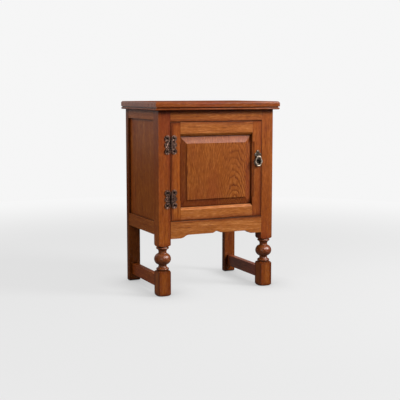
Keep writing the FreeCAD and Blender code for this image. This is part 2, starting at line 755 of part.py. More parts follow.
def back_frame():
    """Two rails and a thin panel between the rear posts."""
    half = ("-opening_side", "opening_side")
    tenons = ("-opening_side - tenon_length", "opening_side + tenon_length")
    cheek = ("back_tenon - side_end", "back_tenon + tenon_thickness - side_end")
    slot = ("back_panel_front - groove_clearance - side_end",
            "back_panel_front + back_panel_thickness + groove_clearance - side_end")
    for level, low, height in (("top", "back_top_rail_low", "back_top_rail_height"),
                               ("bottom", "bottom_rail_low", "bottom_rail_height")):
        rail = body(f"back_{level}_rail", y="side_end", z=low)
        block(rail, "rail", half, ("0", "back_rail_thickness"), ("0", height))
        block(rail, "tenons", tenons, cheek, ("tenon_shoulder", f"{height} - tenon_shoulder"))
        groove = ("0", "groove_depth") if level == "top" else (f"{height} - groove_depth", height)
        block(rail, "panel_groove", half, slot, groove, cut=True)
    panel = body("back_panel", y="back_panel_front", z="bottom_rail_top")
    block(panel, "board", ("-opening_side - tongue_length", "opening_side + tongue_length"),
          ("0", "back_panel_thickness"),
          ("-tongue_length", "back_top_rail_low - bottom_rail_top + tongue_length"))


def cupboard_floor():
    """Floor board notched round the front posts, on a cleat along each side."""
    floor = body("cabinet_floor", z="floor_under")
    reach = "side_rail_inner - floor_clearance"
    block(floor, "board", (f"-({reach})", reach), ("floor_front", "side_end - floor_clearance"),
          ("0", "floor_thickness"))
    for side, sign in SIDES:
        notch = spread(sign, "opening_side - floor_clearance", f"{reach} + overrun")
        block(floor, f"{side}_notch", notch, ("floor_front - overrun", "side_start + floor_clearance"),
              ("-overrun", "floor_thickness + overrun"), cut=True)
        cleat = body(f"{side}_floor_cleat", f"{sign} * side_rail_inner", "side_start",
                     "floor_under - cleat_size")
        block(cleat, "cleat", spread(-sign, "0", "cleat_size"), ("0", "side_end - side_start"),
              ("0", "cleat_size"))


def top_buttons():
    """Wooden buttons that grip the side rails' grooves, each with a screw up into the top."""
    buttons = []
    seats = []
    for side, sign in SIDES:
        for index, share in enumerate(BUTTON_SHARES):
            name = f"{side}_button_{index}"
            middle = f"side_start + {share} * (side_end - side_start)"
            inner = f"{sign} * side_rail_inner - (1 + {sign}) / 2 * button_reach"
            tongue = f"{sign} * side_rail_inner - (1 - {sign}) / 2 * button_tongue_length"
            low = "top_under - button_height"
            near = f"{middle} - button_width / 2"
            shoe = {"Length": "button_reach", "Width": "button_width", "Height": "button_height"}
            shoe_block = bar(f"{name}_shoe", "Box", shoe, inner, near, low)
            lip = {
                "Length": "button_tongue_length",
                "Width": "button_width",
                "Height": "button_tongue_height",
            }
            lip_block = bar(f"{name}_lip", "Box", lip, tongue, near,
                            "top_under - button_tongue_drop - button_tongue_height")
            seat = (f"{sign} * (side_rail_inner - button_reach / 2)", middle, low)
            hole = {
                "Radius": "button_screw_radius + screw_clearance",
                "Height": "button_height + 2 * overrun",
            }
            bore = bar(f"{name}_bore", "Cylinder", hole, seat[0], seat[1], f"{low} - overrun")
            buttons.append(less(name, fused(f"{name}_block", [shoe_block, lip_block]), bore))
            seats.append(seat)
    group("top_buttons", buttons)
    fasteners("top_button_screws", "button_screw", seats, "up")
    top = doc.getObject("table_top")
    for index, seat in enumerate(seats):
        disc(top, f"screw_hole_{index}", "XY", seat[:2], "button_screw_radius + screw_clearance", "0",
             "button_screw_length - button_height + mortise_spare", cut=True)


def door_frame():
    """Stiles with stopped chamfers, rails with full chamfers, all grooved for the panel."""
    groove = ("door_groove", "door_groove + door_groove_width")
    tenon = ("door_tenon", "door_tenon + tenon_thickness")
    holes = {-1: "hinge", 1: "lock"}
    for side, sign in SIDES:
        stile = body(f"door_{holes[sign]}_stile", y="front_face")
        block(stile, "stile", spread(sign, "panel_side", "door_side"), ("0", "door_thickness"),
              ("door_low", "door_top"))
        block(stile, "panel_groove", spread(sign, "panel_side", "panel_side + groove_depth"), groove,
              ("panel_low - groove_depth", "panel_top + groove_depth"), cut=True)
        for level, low in (("bottom", "door_low"), ("top", "panel_top")):
            high = f"{low} + door_{level}_rail_width"
            block(stile, f"{level}_mortise", spread(sign, "panel_side", "panel_side + mortise_depth"),
                  tenon, (f"{low} + tenon_shoulder", f"{high} - tenon_shoulder"), cut=True)
        prism(stile, "chamfer", "XY", [
            (f"{sign} * panel_side", "0"),
            (f"{sign} * (panel_side + chamfer_width)", "0"),
            (f"{sign} * panel_side", "chamfer_depth"),
        ], "panel_low + chamfer_stop", "panel_top - panel_low - 2 * chamfer_stop", cut=True)
        if sign < 0:
            hinge_holes(stile, 1, "0", "0")
        else:
            pull_holes(stile)
    for level, low in (("bottom", "door_low"), ("top", "panel_top")):
        rail = body(f"door_{level}_rail", y="front_face", z=low)
        width = f"door_{level}_rail_width"
        inner, outward = (width, 1) if level == "bottom" else ("0", -1)
        block(rail, "rail", ("-panel_side", "panel_side"), ("0", "door_thickness"), ("0", width))
        block(rail, "tenons", ("-panel_side - tenon_length", "panel_side + tenon_length"), tenon,
              ("tenon_shoulder", f"{width} - tenon_shoulder"))
        depth = f"{inner} - {outward} * groove_depth"
        low_edge, high_edge = (depth, inner) if outward > 0 else (inner, depth)
        block(rail, "panel_groove", ("-panel_side", "panel_side"), groove, (low_edge, high_edge), cut=True)
        prism(rail, "chamfer", "YZ", [
            ("0", inner),
            ("0", f"{inner} - {outward} * chamfer_width"),
            ("chamfer_depth", inner),
        ], "-panel_side", "2 * panel_side", cut=True)


def door_panel():
    """Raised field with a small step and a wide bevel down to a thin tongue."""
    panel = body("door_panel", y="front_face")
    side, back = "panel_side + tongue_length", "bevel_setback + door_tongue_thickness"
    low, high = "panel_low - tongue_length", "panel_top + tongue_length"
    block(panel, "board", (f"-({side})", side), ("field_setback", back), (low, high))

    def bevel(edge, sign, flip):
        """Section of one bevel, from the opening's edge inward, and past the panel's own edge."""
        def at(across, depth):
            place_across = f"{edge} - {sign} * ({across})"
            return (depth, place_across) if flip else (place_across, depth)
        past = "-tongue_length - overrun"
        return [
            at(past, "field_setback - overrun"),
            at("bevel_width", "field_setback - overrun"),
            at("bevel_width", "field_setback + field_step"),
            at("0", "bevel_setback"),
            at(past, "bevel_setback"),
        ]

    for name, sign in SIDES:
        prism(panel, f"{name}_bevel", "XY", bevel(f"{sign} * panel_side", sign, False),
              f"{low} - overrun", f"{high} - ({low}) + 2 * overrun", cut=True)
    for name, edge, sign in (("bottom", "panel_low", -1), ("top", "panel_top", 1)):
        prism(panel, f"{name}_bevel", "YZ", bevel(edge, sign, True),
              f"-({side}) - overrun", f"2 * ({side} + overrun)", cut=True)


def leaf_screw_places(sign):
    """Where one side's leaves are screwed on, as X and Z."""
    return [
        (f"hinge_axis + {sign} * leaf_lobe_side", f"{level} + {rise} * leaf_lobe_rise")
        for _, level in HINGES for rise in (-1, 1)
    ]


def hinge_holes(owner, sign, axis, face):
    """Holes for the hinge screws in the wood behind one side's leaves."""
    for index, (x, z) in enumerate(leaf_screw_places(sign)):
        disc(owner, f"hinge_hole_{index}", "XZ", (f"{x} + {axis}", z), "hinge_screw_radius + screw_clearance",
             face, "hinge_screw_length - leaf_thickness + mortise_spare", cut=True)


def hinge_leaf(label, level, sign):
    """One lobed leaf with its share of the barrel. The post's leaf has the outer knuckles."""
    leaf = body(label, "hinge_axis", "front_face - hinge_axis_proud", level)
    face = "hinge_axis_proud - leaf_thickness"
    half_barrel = "barrel_length / 2"
    prism(leaf, "waist", "XZ", [
        ("0", f"-{half_barrel}"),
        (f"{sign} * leaf_waist", f"-{half_barrel}"),
        (f"{sign} * leaf_waist", half_barrel),
        ("0", half_barrel),
    ], face, "leaf_thickness")
    for name, rise in (("lower", -1), ("upper", 1)):
        disc(leaf, f"{name}_lobe", "XZ", (f"{sign} * leaf_lobe_side", f"{rise} * leaf_lobe_rise"),
             "lobe_radius", face, "leaf_thickness")
    disc(leaf, "middle_lobe", "XZ", (f"{sign} * (leaf_width - middle_lobe_radius)", "0"),
         "middle_lobe_radius", face, "leaf_thickness")
    disc(leaf, "barrel", "XY", ("0", "0"), "barrel_radius", f"-{half_barrel}", "barrel_length")
    pitch = f"(barrel_length + knuckle_gap) / {KNUCKLES}"
    for knuckle in range(KNUCKLES):
        own = (knuckle % 2 == 0) == (sign < 0)
        if not own:
            low = f"{knuckle} * {pitch} - knuckle_gap - {half_barrel}"
            high = f"{knuckle + 1} * {pitch} - {half_barrel}"
            block(leaf, f"gap_{knuckle}", spread(sign, "-leaf_root - overrun", "leaf_root"),
                  ("-barrel_radius - overrun", "hinge_axis_proud + overrun"), (low, high), cut=True)
    disc(leaf, "bore", "XY", ("0", "0"), "pin_radius + running_clearance", f"-{half_barrel} - overrun",
         "barrel_length + 2 * overrun", cut=True)
    for name, rise in (("lower", -1), ("upper", 1)):
        disc(leaf, f"{name}_screw_hole", "XZ", (f"{sign} * leaf_lobe_side", f"{rise} * leaf_lobe_rise"),
             "hinge_screw_radius + screw_clearance", f"{face} - overrun",
             "leaf_thickness + 2 * overrun", cut=True)


def hinges():
    """Two hinges, each a post leaf, a door leaf and a headed pin, and their screws."""
    for name, level in HINGES:
        hinge_leaf(f"{name}_hinge_post_leaf", level, -1)
        hinge_leaf(f"{name}_hinge_door_leaf", level, 1)
        pin_body = body(f"{name}_hinge_pin", "hinge_axis", "front_face - hinge_axis_proud", level)
        end = "barrel_length / 2 + knuckle_gap"
        disc(pin_body, "pin", "XY", ("0", "0"), "pin_radius", f"-({end})", f"2 * ({end})")
        disc(pin_body, "upper_head", "XY", ("0", "0"), "pin_head_radius", end, "pin_head_height")
        disc(pin_body, "lower_head", "XY", ("0", "0"), "pin_head_radius", f"-({end}) - pin_head_height",
             "pin_head_height")
    for owner, sign in (("post", -1), ("door", 1)):
        seats = [(x, "front_face - leaf_thickness", z) for x, z in leaf_screw_places(sign)]
        fasteners(f"hinge_{owner}_screws", "hinge_screw", seats, "back")


def plate_pin_levels():
    return "pull_height + plate_finial_rise", "pull_height - plate_drop + plate_disc_radius / 2"


def strike_screw_levels():
    half = "(strike_length / 2 - strike_screw_end_distance)"
    return f"catch_height - {half}", f"catch_height + {half}"


def catch_screw_levels():
    half = "(catch_length / 2 - catch_screw_end_distance)"
    return f"catch_height - {half}", f"catch_height + {half}"


def pull_holes(stile):
    """Holes in the lock stile for the pull's stud and pins and for the strike's screws."""
    disc(stile, "stud_hole", "XZ", ("pull_side", "pull_height"), "stud_shank_radius + stud_clearance",
         "0", "door_thickness", cut=True)
    for index, level in enumerate(plate_pin_levels()):
        disc(stile, f"pin_hole_{index}", "XZ", ("pull_side", level), "plate_pin_radius + screw_clearance",
             "0", "plate_pin_length - plate_thickness + mortise_spare", cut=True)
    depth = "strike_screw_length - strike_thickness + mortise_spare"
    for index, level in enumerate(strike_screw_levels()):
        disc(stile, f"strike_hole_{index}", "XZ", ("catch_middle", level),
             "strike_screw_radius + screw_clearance", f"door_thickness - ({depth})", depth, cut=True)


def pull_plate():
    """Backplate with a round lower end, side lobes, a finial and two piercings."""
    plate = body("pull_backplate", "pull_side", "front_face - plate_thickness", "pull_height")
    lobes = [
        ("lower_disc", "0", "-plate_disc_drop", "plate_disc_radius"),
        ("left_lobe", "-plate_lobe_spread", "plate_lobe_rise", "plate_lobe_radius"),
        ("right_lobe", "plate_lobe_spread", "plate_lobe_rise", "plate_lobe_radius"),
        ("finial", "0", "plate_finial_rise", "plate_finial_radius"),
    ]
    half_neck = "plate_neck_width / 2"
    prism(plate, "neck", "XZ", [
        (f"-{half_neck}", "-plate_disc_drop"),
        (half_neck, "-plate_disc_drop"),
        (half_neck, "plate_lobe_rise"),
        ("plate_finial_radius", "plate_finial_rise"),
        ("-plate_finial_radius", "plate_finial_rise"),
        (f"-{half_neck}", "plate_lobe_rise"),
    ], "0", "plate_thickness")
    for name, x, z, radius in lobes:
        disc(plate, name, "XZ", (x, z), radius, "0", "plate_thickness")
    for side, sign in SIDES:
        disc(plate, f"{side}_piercing", "XZ", (f"{sign} * plate_piercing_spread", "plate_lobe_rise"),
             "plate_piercing_radius", "-overrun", "plate_thickness + 2 * overrun", cut=True)
    disc(plate, "stud_hole", "XZ", ("0", "0"), "stud_shank_radius + stud_clearance",
         "-overrun", "plate_thickness + 2 * overrun", cut=True)
    for index, level in enumerate(plate_pin_levels()):
        disc(plate, f"pin_hole_{index}", "XZ", ("0", f"{level} - pull_height"),
             "plate_pin_radius + screw_clearance", "-overrun", "plate_thickness + 2 * overrun", cut=True)
    seats = [("pull_side", "front_face - plate_thickness", level) for level in plate_pin_levels()]
    fasteners("pull_plate_pins", "plate_pin", seats, "back")


def pull_stud():
    """Threaded stud through the stile, with a flange on the plate and an eye for the ring, and its nut."""
    seat = "front_face - plate_thickness"
    at = ("pull_side", seat, "pull_height")
    across = ("pull_side - eye_length / 2", "front_face - pull_stand", "pull_height")
    shank_length = "plate_thickness + door_thickness + nut_height + stud_shank_spare"
    pieces = [
        ("shank", "stud_shank_radius", shank_length, at, "back"),
        ("flange", "stud_flange_radius", "stud_flange_height", at, "front"),
        ("neck", "stud_neck_radius", "pull_stand - plate_thickness", at, "front"),
        ("eye", "eye_radius", "eye_length", across, "right"),
    ]
    solid = fused("stud_solid", [
        bar(f"stud_{name}", "Cylinder", {"Radius": radius, "Height": height}, *point, DRIVES[drive])
        for name, radius, height, point, drive in pieces
    ])
    hole = {"Radius": "ring_section / 2 + ring_clearance", "Height": "eye_length + 2 * overrun"}
    bore = bar("stud_bore", "Cylinder", hole, f"{across[0]} - overrun", *across[1:], DRIVES["right"])
    node(less("stud", solid, bore), "pull_stud")
    under = ("pull_side", "front_face + door_thickness", "pull_height")
    hexagon = bar("nut_hexagon", "Prism", {"Circumradius": "nut_radius", "Height": "nut_height"},
                  *under, DRIVES["back"])
    thread = {"Radius": "stud_shank_radius + stud_clearance", "Height": "nut_height + 2 * overrun"}
    tapped = bar("nut_thread", "Cylinder", thread, under[0], f"{under[1]} - overrun", under[2],
                 DRIVES["back"])
    node(less("nut", hexagon, tapped), "pull_nut")


def pull_ring():
    """Six-sided ring with rounded corners, hung by its flat upper side."""
    ring = body("pull_ring", "pull_side", "front_face - pull_stand", "ring_axis")
    outlines = (
        ("outer", "half_flat", "ring_width / 2", "half_ring", False),
        ("inner", "ring_inner_flat", "ring_inner_side", "ring_inner_half", True),
    )
    for name, flat, side, half, cut in outlines:
        prism(ring, name, "XZ", [
            (f"-({flat})", half),
            (f"-({side})", "0"),
            (f"-({flat})", f"-({half})"),
            (flat, f"-({half})"),
            (side, "0"),
            (flat, half),
        ], "-ring_section / 2", "ring_section", cut=cut)
    dress(ring, "Fillet", "corners", "ring_corner_radius",
          lambda box: box.YLength > box.DiagonalLength / 2)
    dress(ring, "Fillet", "rims", f"{RIM_SHARE} * ring_section",
          lambda box: box.YLength < box.DiagonalLength / 2)


def catch():
    """Magnetic catch: a case on the post with a magnet between pole plates, and a strike on the door."""
    case = body("catch_case", "catch_side", "catch_face", "catch_height")
    half = "catch_length / 2"
    half_window = "catch_window / 2"
    inner = ("catch_wall", "catch_width - catch_wall")
    block(case, "case", ("0", "catch_width"), ("0", "catch_depth"), (f"-{half}", half))
    block(case, "window", inner, ("-overrun", "catch_depth - catch_wall"),
          (f"-{half_window}", half_window), cut=True)
    for index, level in enumerate(catch_screw_levels()):
        disc(case, f"screw_hole_{index}", "YZ", ("catch_depth / 2", f"{level} - catch_height"),
             "catch_screw_radius + screw_clearance", "-overrun", "catch_width + 2 * overrun", cut=True)
    magnet = body("catch_magnet", "catch_side", "catch_face", "catch_height")
    block(magnet, "magnet", ("catch_wall + pole_thickness", "catch_width - catch_wall - pole_thickness"),
          ("magnet_setback", "catch_depth - catch_wall"), (f"-{half_window}", half_window))
    poles = []
    for side, edge in (("left", "catch_side + catch_wall"),
                       ("right", "opening_side - catch_wall - pole_thickness")):
        size = {
            "Length": "pole_thickness",
            "Width": "catch_depth - catch_wall + pole_projection",
            "Height": "catch_window",
        }
        poles.append(bar(f"{side}_pole", "Box", size, edge, "pole_face", f"catch_height - {half_window}"))
    group("catch_pole_plates", poles)
    seats = [("catch_side", "catch_face + catch_depth / 2", level) for level in catch_screw_levels()]
    fasteners("catch_screws", "catch_screw", seats, "right")
    strike = body("catch_strike", "catch_middle", "front_face + door_thickness", "catch_height")
    half_strike, half_width = "strike_length / 2", "strike_width / 2"
    block(strike, "plate", (f"-{half_width}", half_width), ("0", "strike_thickness"),
          (f"-{half_strike}", half_strike))
    for index, level in enumerate(strike_screw_levels()):
        disc(strike, f"screw_hole_{index}", "XZ", ("0", f"{level} - catch_height"),
             "strike_screw_radius + screw_clearance", "-overrun",
             "strike_thickness + 2 * overrun", cut=True)
    seats = [("catch_middle", "front_face + door_thickness + strike_thickness", level)
             for level in strike_screw_levels()]
    fasteners("strike_screws", "strike_screw", seats, "front")


def check():
    """Every object up to date, every cut really cutting, every sub-part a valid solid."""
    for item in doc.Objects:
        if {"Invalid", "Error"} & set(item.State):
            raise RuntimeError(f"{item.Name} failed: {item.State}")
        if item.TypeId in ("PartDesign::Pocket", "PartDesign::Groove"):
            if item.Shape.Volume >= item.BaseFeature.Shape.Volume:
                raise RuntimeError(f"{item.Name} cuts nothing")
    for item in nodes:
        if item.Shape.isNull() or not item.Shape.isValid() or not item.Shape.Solids:
            raise RuntimeError(f"{item.Label} has no valid solid")


def write():
    os.makedirs("parts", exist_ok=True)
    for item in nodes:
        item.Shape.exportStep(f"parts/{item.Label}.step")


fill_sheet()
table_top()
front_posts()
balusters()
feet()
rear_posts()
side_rails()
front_rails()
back_frame()
cupboard_floor()
top_buttons()
door_frame()
door_panel()
hinges()
pull_plate()
pull_stud()
pull_ring()
catch()
doc.recompute()
check()
write()
print(len(nodes), "nodes")
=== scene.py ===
import json
import math
import random
from collections import namedtuple

import bmesh
import bpy
import numpy as np
from mathutils import Matrix, Vector

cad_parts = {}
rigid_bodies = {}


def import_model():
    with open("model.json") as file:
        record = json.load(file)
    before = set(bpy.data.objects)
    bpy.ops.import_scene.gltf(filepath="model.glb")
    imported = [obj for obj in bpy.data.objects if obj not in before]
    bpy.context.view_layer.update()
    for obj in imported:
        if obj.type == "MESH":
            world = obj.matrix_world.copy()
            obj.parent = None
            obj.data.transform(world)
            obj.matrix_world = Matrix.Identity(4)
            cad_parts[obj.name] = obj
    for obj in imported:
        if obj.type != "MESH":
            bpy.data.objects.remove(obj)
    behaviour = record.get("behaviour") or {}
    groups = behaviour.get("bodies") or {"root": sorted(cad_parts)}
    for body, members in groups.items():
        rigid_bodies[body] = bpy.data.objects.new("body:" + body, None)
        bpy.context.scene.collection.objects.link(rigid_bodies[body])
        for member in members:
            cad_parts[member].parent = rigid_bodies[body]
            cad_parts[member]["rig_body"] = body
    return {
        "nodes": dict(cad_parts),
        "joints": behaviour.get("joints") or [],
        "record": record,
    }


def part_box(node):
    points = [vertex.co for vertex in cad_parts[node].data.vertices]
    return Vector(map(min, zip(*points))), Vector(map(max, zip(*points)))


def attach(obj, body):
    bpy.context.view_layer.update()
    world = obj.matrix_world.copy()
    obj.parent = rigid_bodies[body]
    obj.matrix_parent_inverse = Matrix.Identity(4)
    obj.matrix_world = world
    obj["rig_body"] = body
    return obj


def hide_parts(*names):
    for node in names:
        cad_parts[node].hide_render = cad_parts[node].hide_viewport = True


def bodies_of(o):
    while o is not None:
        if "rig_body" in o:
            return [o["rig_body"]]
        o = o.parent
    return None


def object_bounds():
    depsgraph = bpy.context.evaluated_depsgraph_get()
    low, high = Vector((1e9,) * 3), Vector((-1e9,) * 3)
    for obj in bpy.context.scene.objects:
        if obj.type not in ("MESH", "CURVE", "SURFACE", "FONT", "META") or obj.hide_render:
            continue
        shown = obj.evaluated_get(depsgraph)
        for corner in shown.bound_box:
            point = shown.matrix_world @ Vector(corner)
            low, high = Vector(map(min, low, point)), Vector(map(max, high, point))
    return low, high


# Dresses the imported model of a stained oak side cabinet: procedural materials, woodwork with eased edges,
# cast reliefs on the hinges and the pull, and a pale studio with the photograph's camera.
# Lengths are in metres unless a comment says millimetres; X is right, Y is back, Z is up.

MM = 0.001
WELD = 2e-6      # points nearer than this are one point
ON_LEVEL = 1e-5  # points nearer than this to a level lie on it
SQUARE = 0.99    # a face whose normal has this much of one axis is square to that axis

for item in list(bpy.data.objects):
    bpy.data.objects.remove(item)
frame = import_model()
cad_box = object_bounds()
nodes = frame["nodes"]
joints = {joint["name"]: joint for joint in frame["joints"]}
body_of = {name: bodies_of(item)[0] for name, item in nodes.items()}
slot_of = {part["node"]: part["material_slot"] for part in frame["record"]["subparts"]}


# Shader graphs


WHITE = (1, 1, 1, 1)


def opaque(value):
    """A colour of three parts gets a fourth; any other value stays."""
    return (*value, 1.0) if isinstance(value, tuple) and len(value) == 3 else value


def dimmed(colour, share):
    return tuple(part * share for part in colour)


class Graph:
    """A node tree with short calls: a socket given as a value becomes a link."""

    def __init__(self, tree):
        self.tree = tree
        tree.nodes.clear()

    def add(self, kind, values=None, **props):
        made = self.tree.nodes.new(kind)
        for key, value in props.items():
            setattr(made, key, value)
        for key, value in (values or {}).items():
            self.put(made.inputs[key], value)
        return made

    def put(self, socket, value):
        if isinstance(value, bpy.types.NodeSocket):
            self.tree.links.new(value, socket)
        else:
            socket.default_value = value

    def math(self, operation, a, b=0.0, c=0.0, clamp=False):
        made = self.add("ShaderNodeMath", {0: a, 1: b, 2: c}, operation=operation, use_clamp=clamp)
        return made.outputs[0]

    def times_add(self, a, factor, added, clamp=False):
        return self.math("MULTIPLY_ADD", a, factor, added, clamp)

    def times(self, a, b):
        return self.math("MULTIPLY", a, b)

    def vector(self, operation, a, b=(0, 0, 0), out=0):
        return self.add("ShaderNodeVectorMath", {0: a, 1: b}, operation=operation).outputs[out]

    def dot(self, a, b):
        return self.vector("DOT_PRODUCT", a, b, "Value")

    def length(self, a):
        return self.vector("LENGTH", a, out="Value")

    def split(self, vector):
        made = self.add("ShaderNodeSeparateXYZ", {0: vector})
        return made.outputs[0], made.outputs[1], made.outputs[2]

    def join(self, x, y, z):
        return self.add("ShaderNodeCombineXYZ", {0: x, 1: y, 2: z}).outputs[0]

    def middle(self, a, b, c):
        """The middle one of three values."""
        low, high = self.math("MINIMUM", a, b), self.math("MAXIMUM", a, b)
        return self.math("MAXIMUM", low, self.math("MINIMUM", high, c))

    def noise(self, vector, fine, detail=2.0, roughness=0.5, colour=False):
        """Noise with so many marks to the metre: one number, or one for each axis."""
        if isinstance(fine, tuple):
            vector, fine = self.vector("MULTIPLY", vector, fine), 1.0
        made = self.add("ShaderNodeTexNoise", {
            "Vector": vector, "Scale": fine, "Detail": detail, "Roughness": roughness,
        })
        return made.outputs["Color" if colour else "Fac"]

    def span(self, value, low, high, out_low=0.0, out_high=1.0, smooth=True):
        made = self.add("ShaderNodeMapRange", {
            "Value": value, "From Min": low, "From Max": high, "To Min": out_low, "To Max": out_high,
        }, interpolation_type="SMOOTHSTEP" if smooth else "LINEAR")
        return made.outputs[0]

    def mix(self, share, a, b, blend="MIX"):
        made = self.add("ShaderNodeMix", data_type="RGBA", blend_type=blend)
        for key, value in ((0, share), (6, a), (7, b)):
            self.put(made.inputs[key], opaque(value))
        return made.outputs[2]

    def tint(self, share, colour, factor):
        """Multiplies a colour by a factor, by a share."""
        return self.mix(share, colour, self.mix(1.0, colour, factor, "MULTIPLY"))

    def attribute(self, name, kind="Vector"):
        made = self.add("ShaderNodeAttribute", attribute_name=name, attribute_type="GEOMETRY")
        return made.outputs[kind]

    def object_place(self):
        return self.add("ShaderNodeTexCoord").outputs["Object"]

    def glow(self, strength):
        return self.add("ShaderNodeEmission", {"Color": WHITE, "Strength": strength}).outputs[0]

    def end(self, shader):
        self.add("ShaderNodeOutputMaterial", {"Surface": shader})


def material(name):
    made = bpy.data.materials.new(name)
    made.use_nodes = True
    return made, Graph(made.node_tree)


def surface(graph, values, height, distance, strength):
    """Ends a tree with a principled shader and the bump of a height."""
    values = {key: opaque(value) for key, value in values.items()}
    bump = graph.add("ShaderNodeBump", {"Height": height, "Distance": distance, "Strength": strength})
    values["Normal"] = bump.outputs[0]
    graph.end(graph.add("ShaderNodeBsdfPrincipled", values).outputs[0])


def worn_edges(graph, radius, low, high):
    """One where an edge is near, from how far the rounded normal leaves the true one."""
    rounded = graph.add("ShaderNodeBevel", {"Radius": radius}, samples=6).outputs[0]
    true = graph.add("ShaderNodeNewGeometry").outputs["Normal"]
    return graph.span(graph.dot(rounded, true), high, low)


def recess(graph, distance, low, high):
    """One deep in corners and under ledges, zero in the open: the mask of painted shade."""
    made = graph.add("ShaderNodeAmbientOcclusion", {"Distance": distance}, samples=8)
    return graph.span(made.outputs["AO"], high, low)


# Materials


# marks to the metre along, across and through a board
OAK_MARKS = {
    "sway": (1.6, 6.0, 6.0),           # slow bend of the fibres
    "curl": (26.0, 70.0, 70.0),        # ripples in them
    "band": (110.0, 2.0, 1.0),         # wide and narrow years, across the rings and along the board
    "pore": (40.0, 900.0, 900.0),
    "streak": (4.5, 190.0, 190.0),
    "speckle": (52.0, 300.0, 300.0),
    "flame": (11.0, 85.0, 85.0),
    "ray": (85.0, 300.0, 60.0),
    "blotch": (4.5, 12.0, 12.0),       # uneven stain
    "drift": (3.0, 9.0, 9.0),          # how the figure comes and goes
}
SWAY_REACH = 0.022                     # how far the fibres leave their line
EARLY_SHARE = 0.55                     # part of a year's ring that is early wood
RAY_SLANT = 0.9
GOLDEN_SHEEN = (1.05, 1.38, 2.80)            # tone of the paler, yellower boards; its strong blue part is a painted pale sheen
RIM_REACH = 0.016                      # how far in from an edge the stain is darker
RIM_TONE = (0.60, 0.44, 0.50)
RIM_WAVER = 0.018                      # how far blotches move that limit
SEAM_AND_GAP_SHADE = (0.0008, 0.0036)                # from full to no dark line at a joint, which also paints the shade in the gaps between parts
SEAM_SHADE = 0.80
OAK_WORN_RADIUS = 0.0018
# how far painted shade reaches out of corners and from under ledges
OAK_SHADE_REACH = 0.018

Tones = namedtuple("Tones", "dark middle light red")


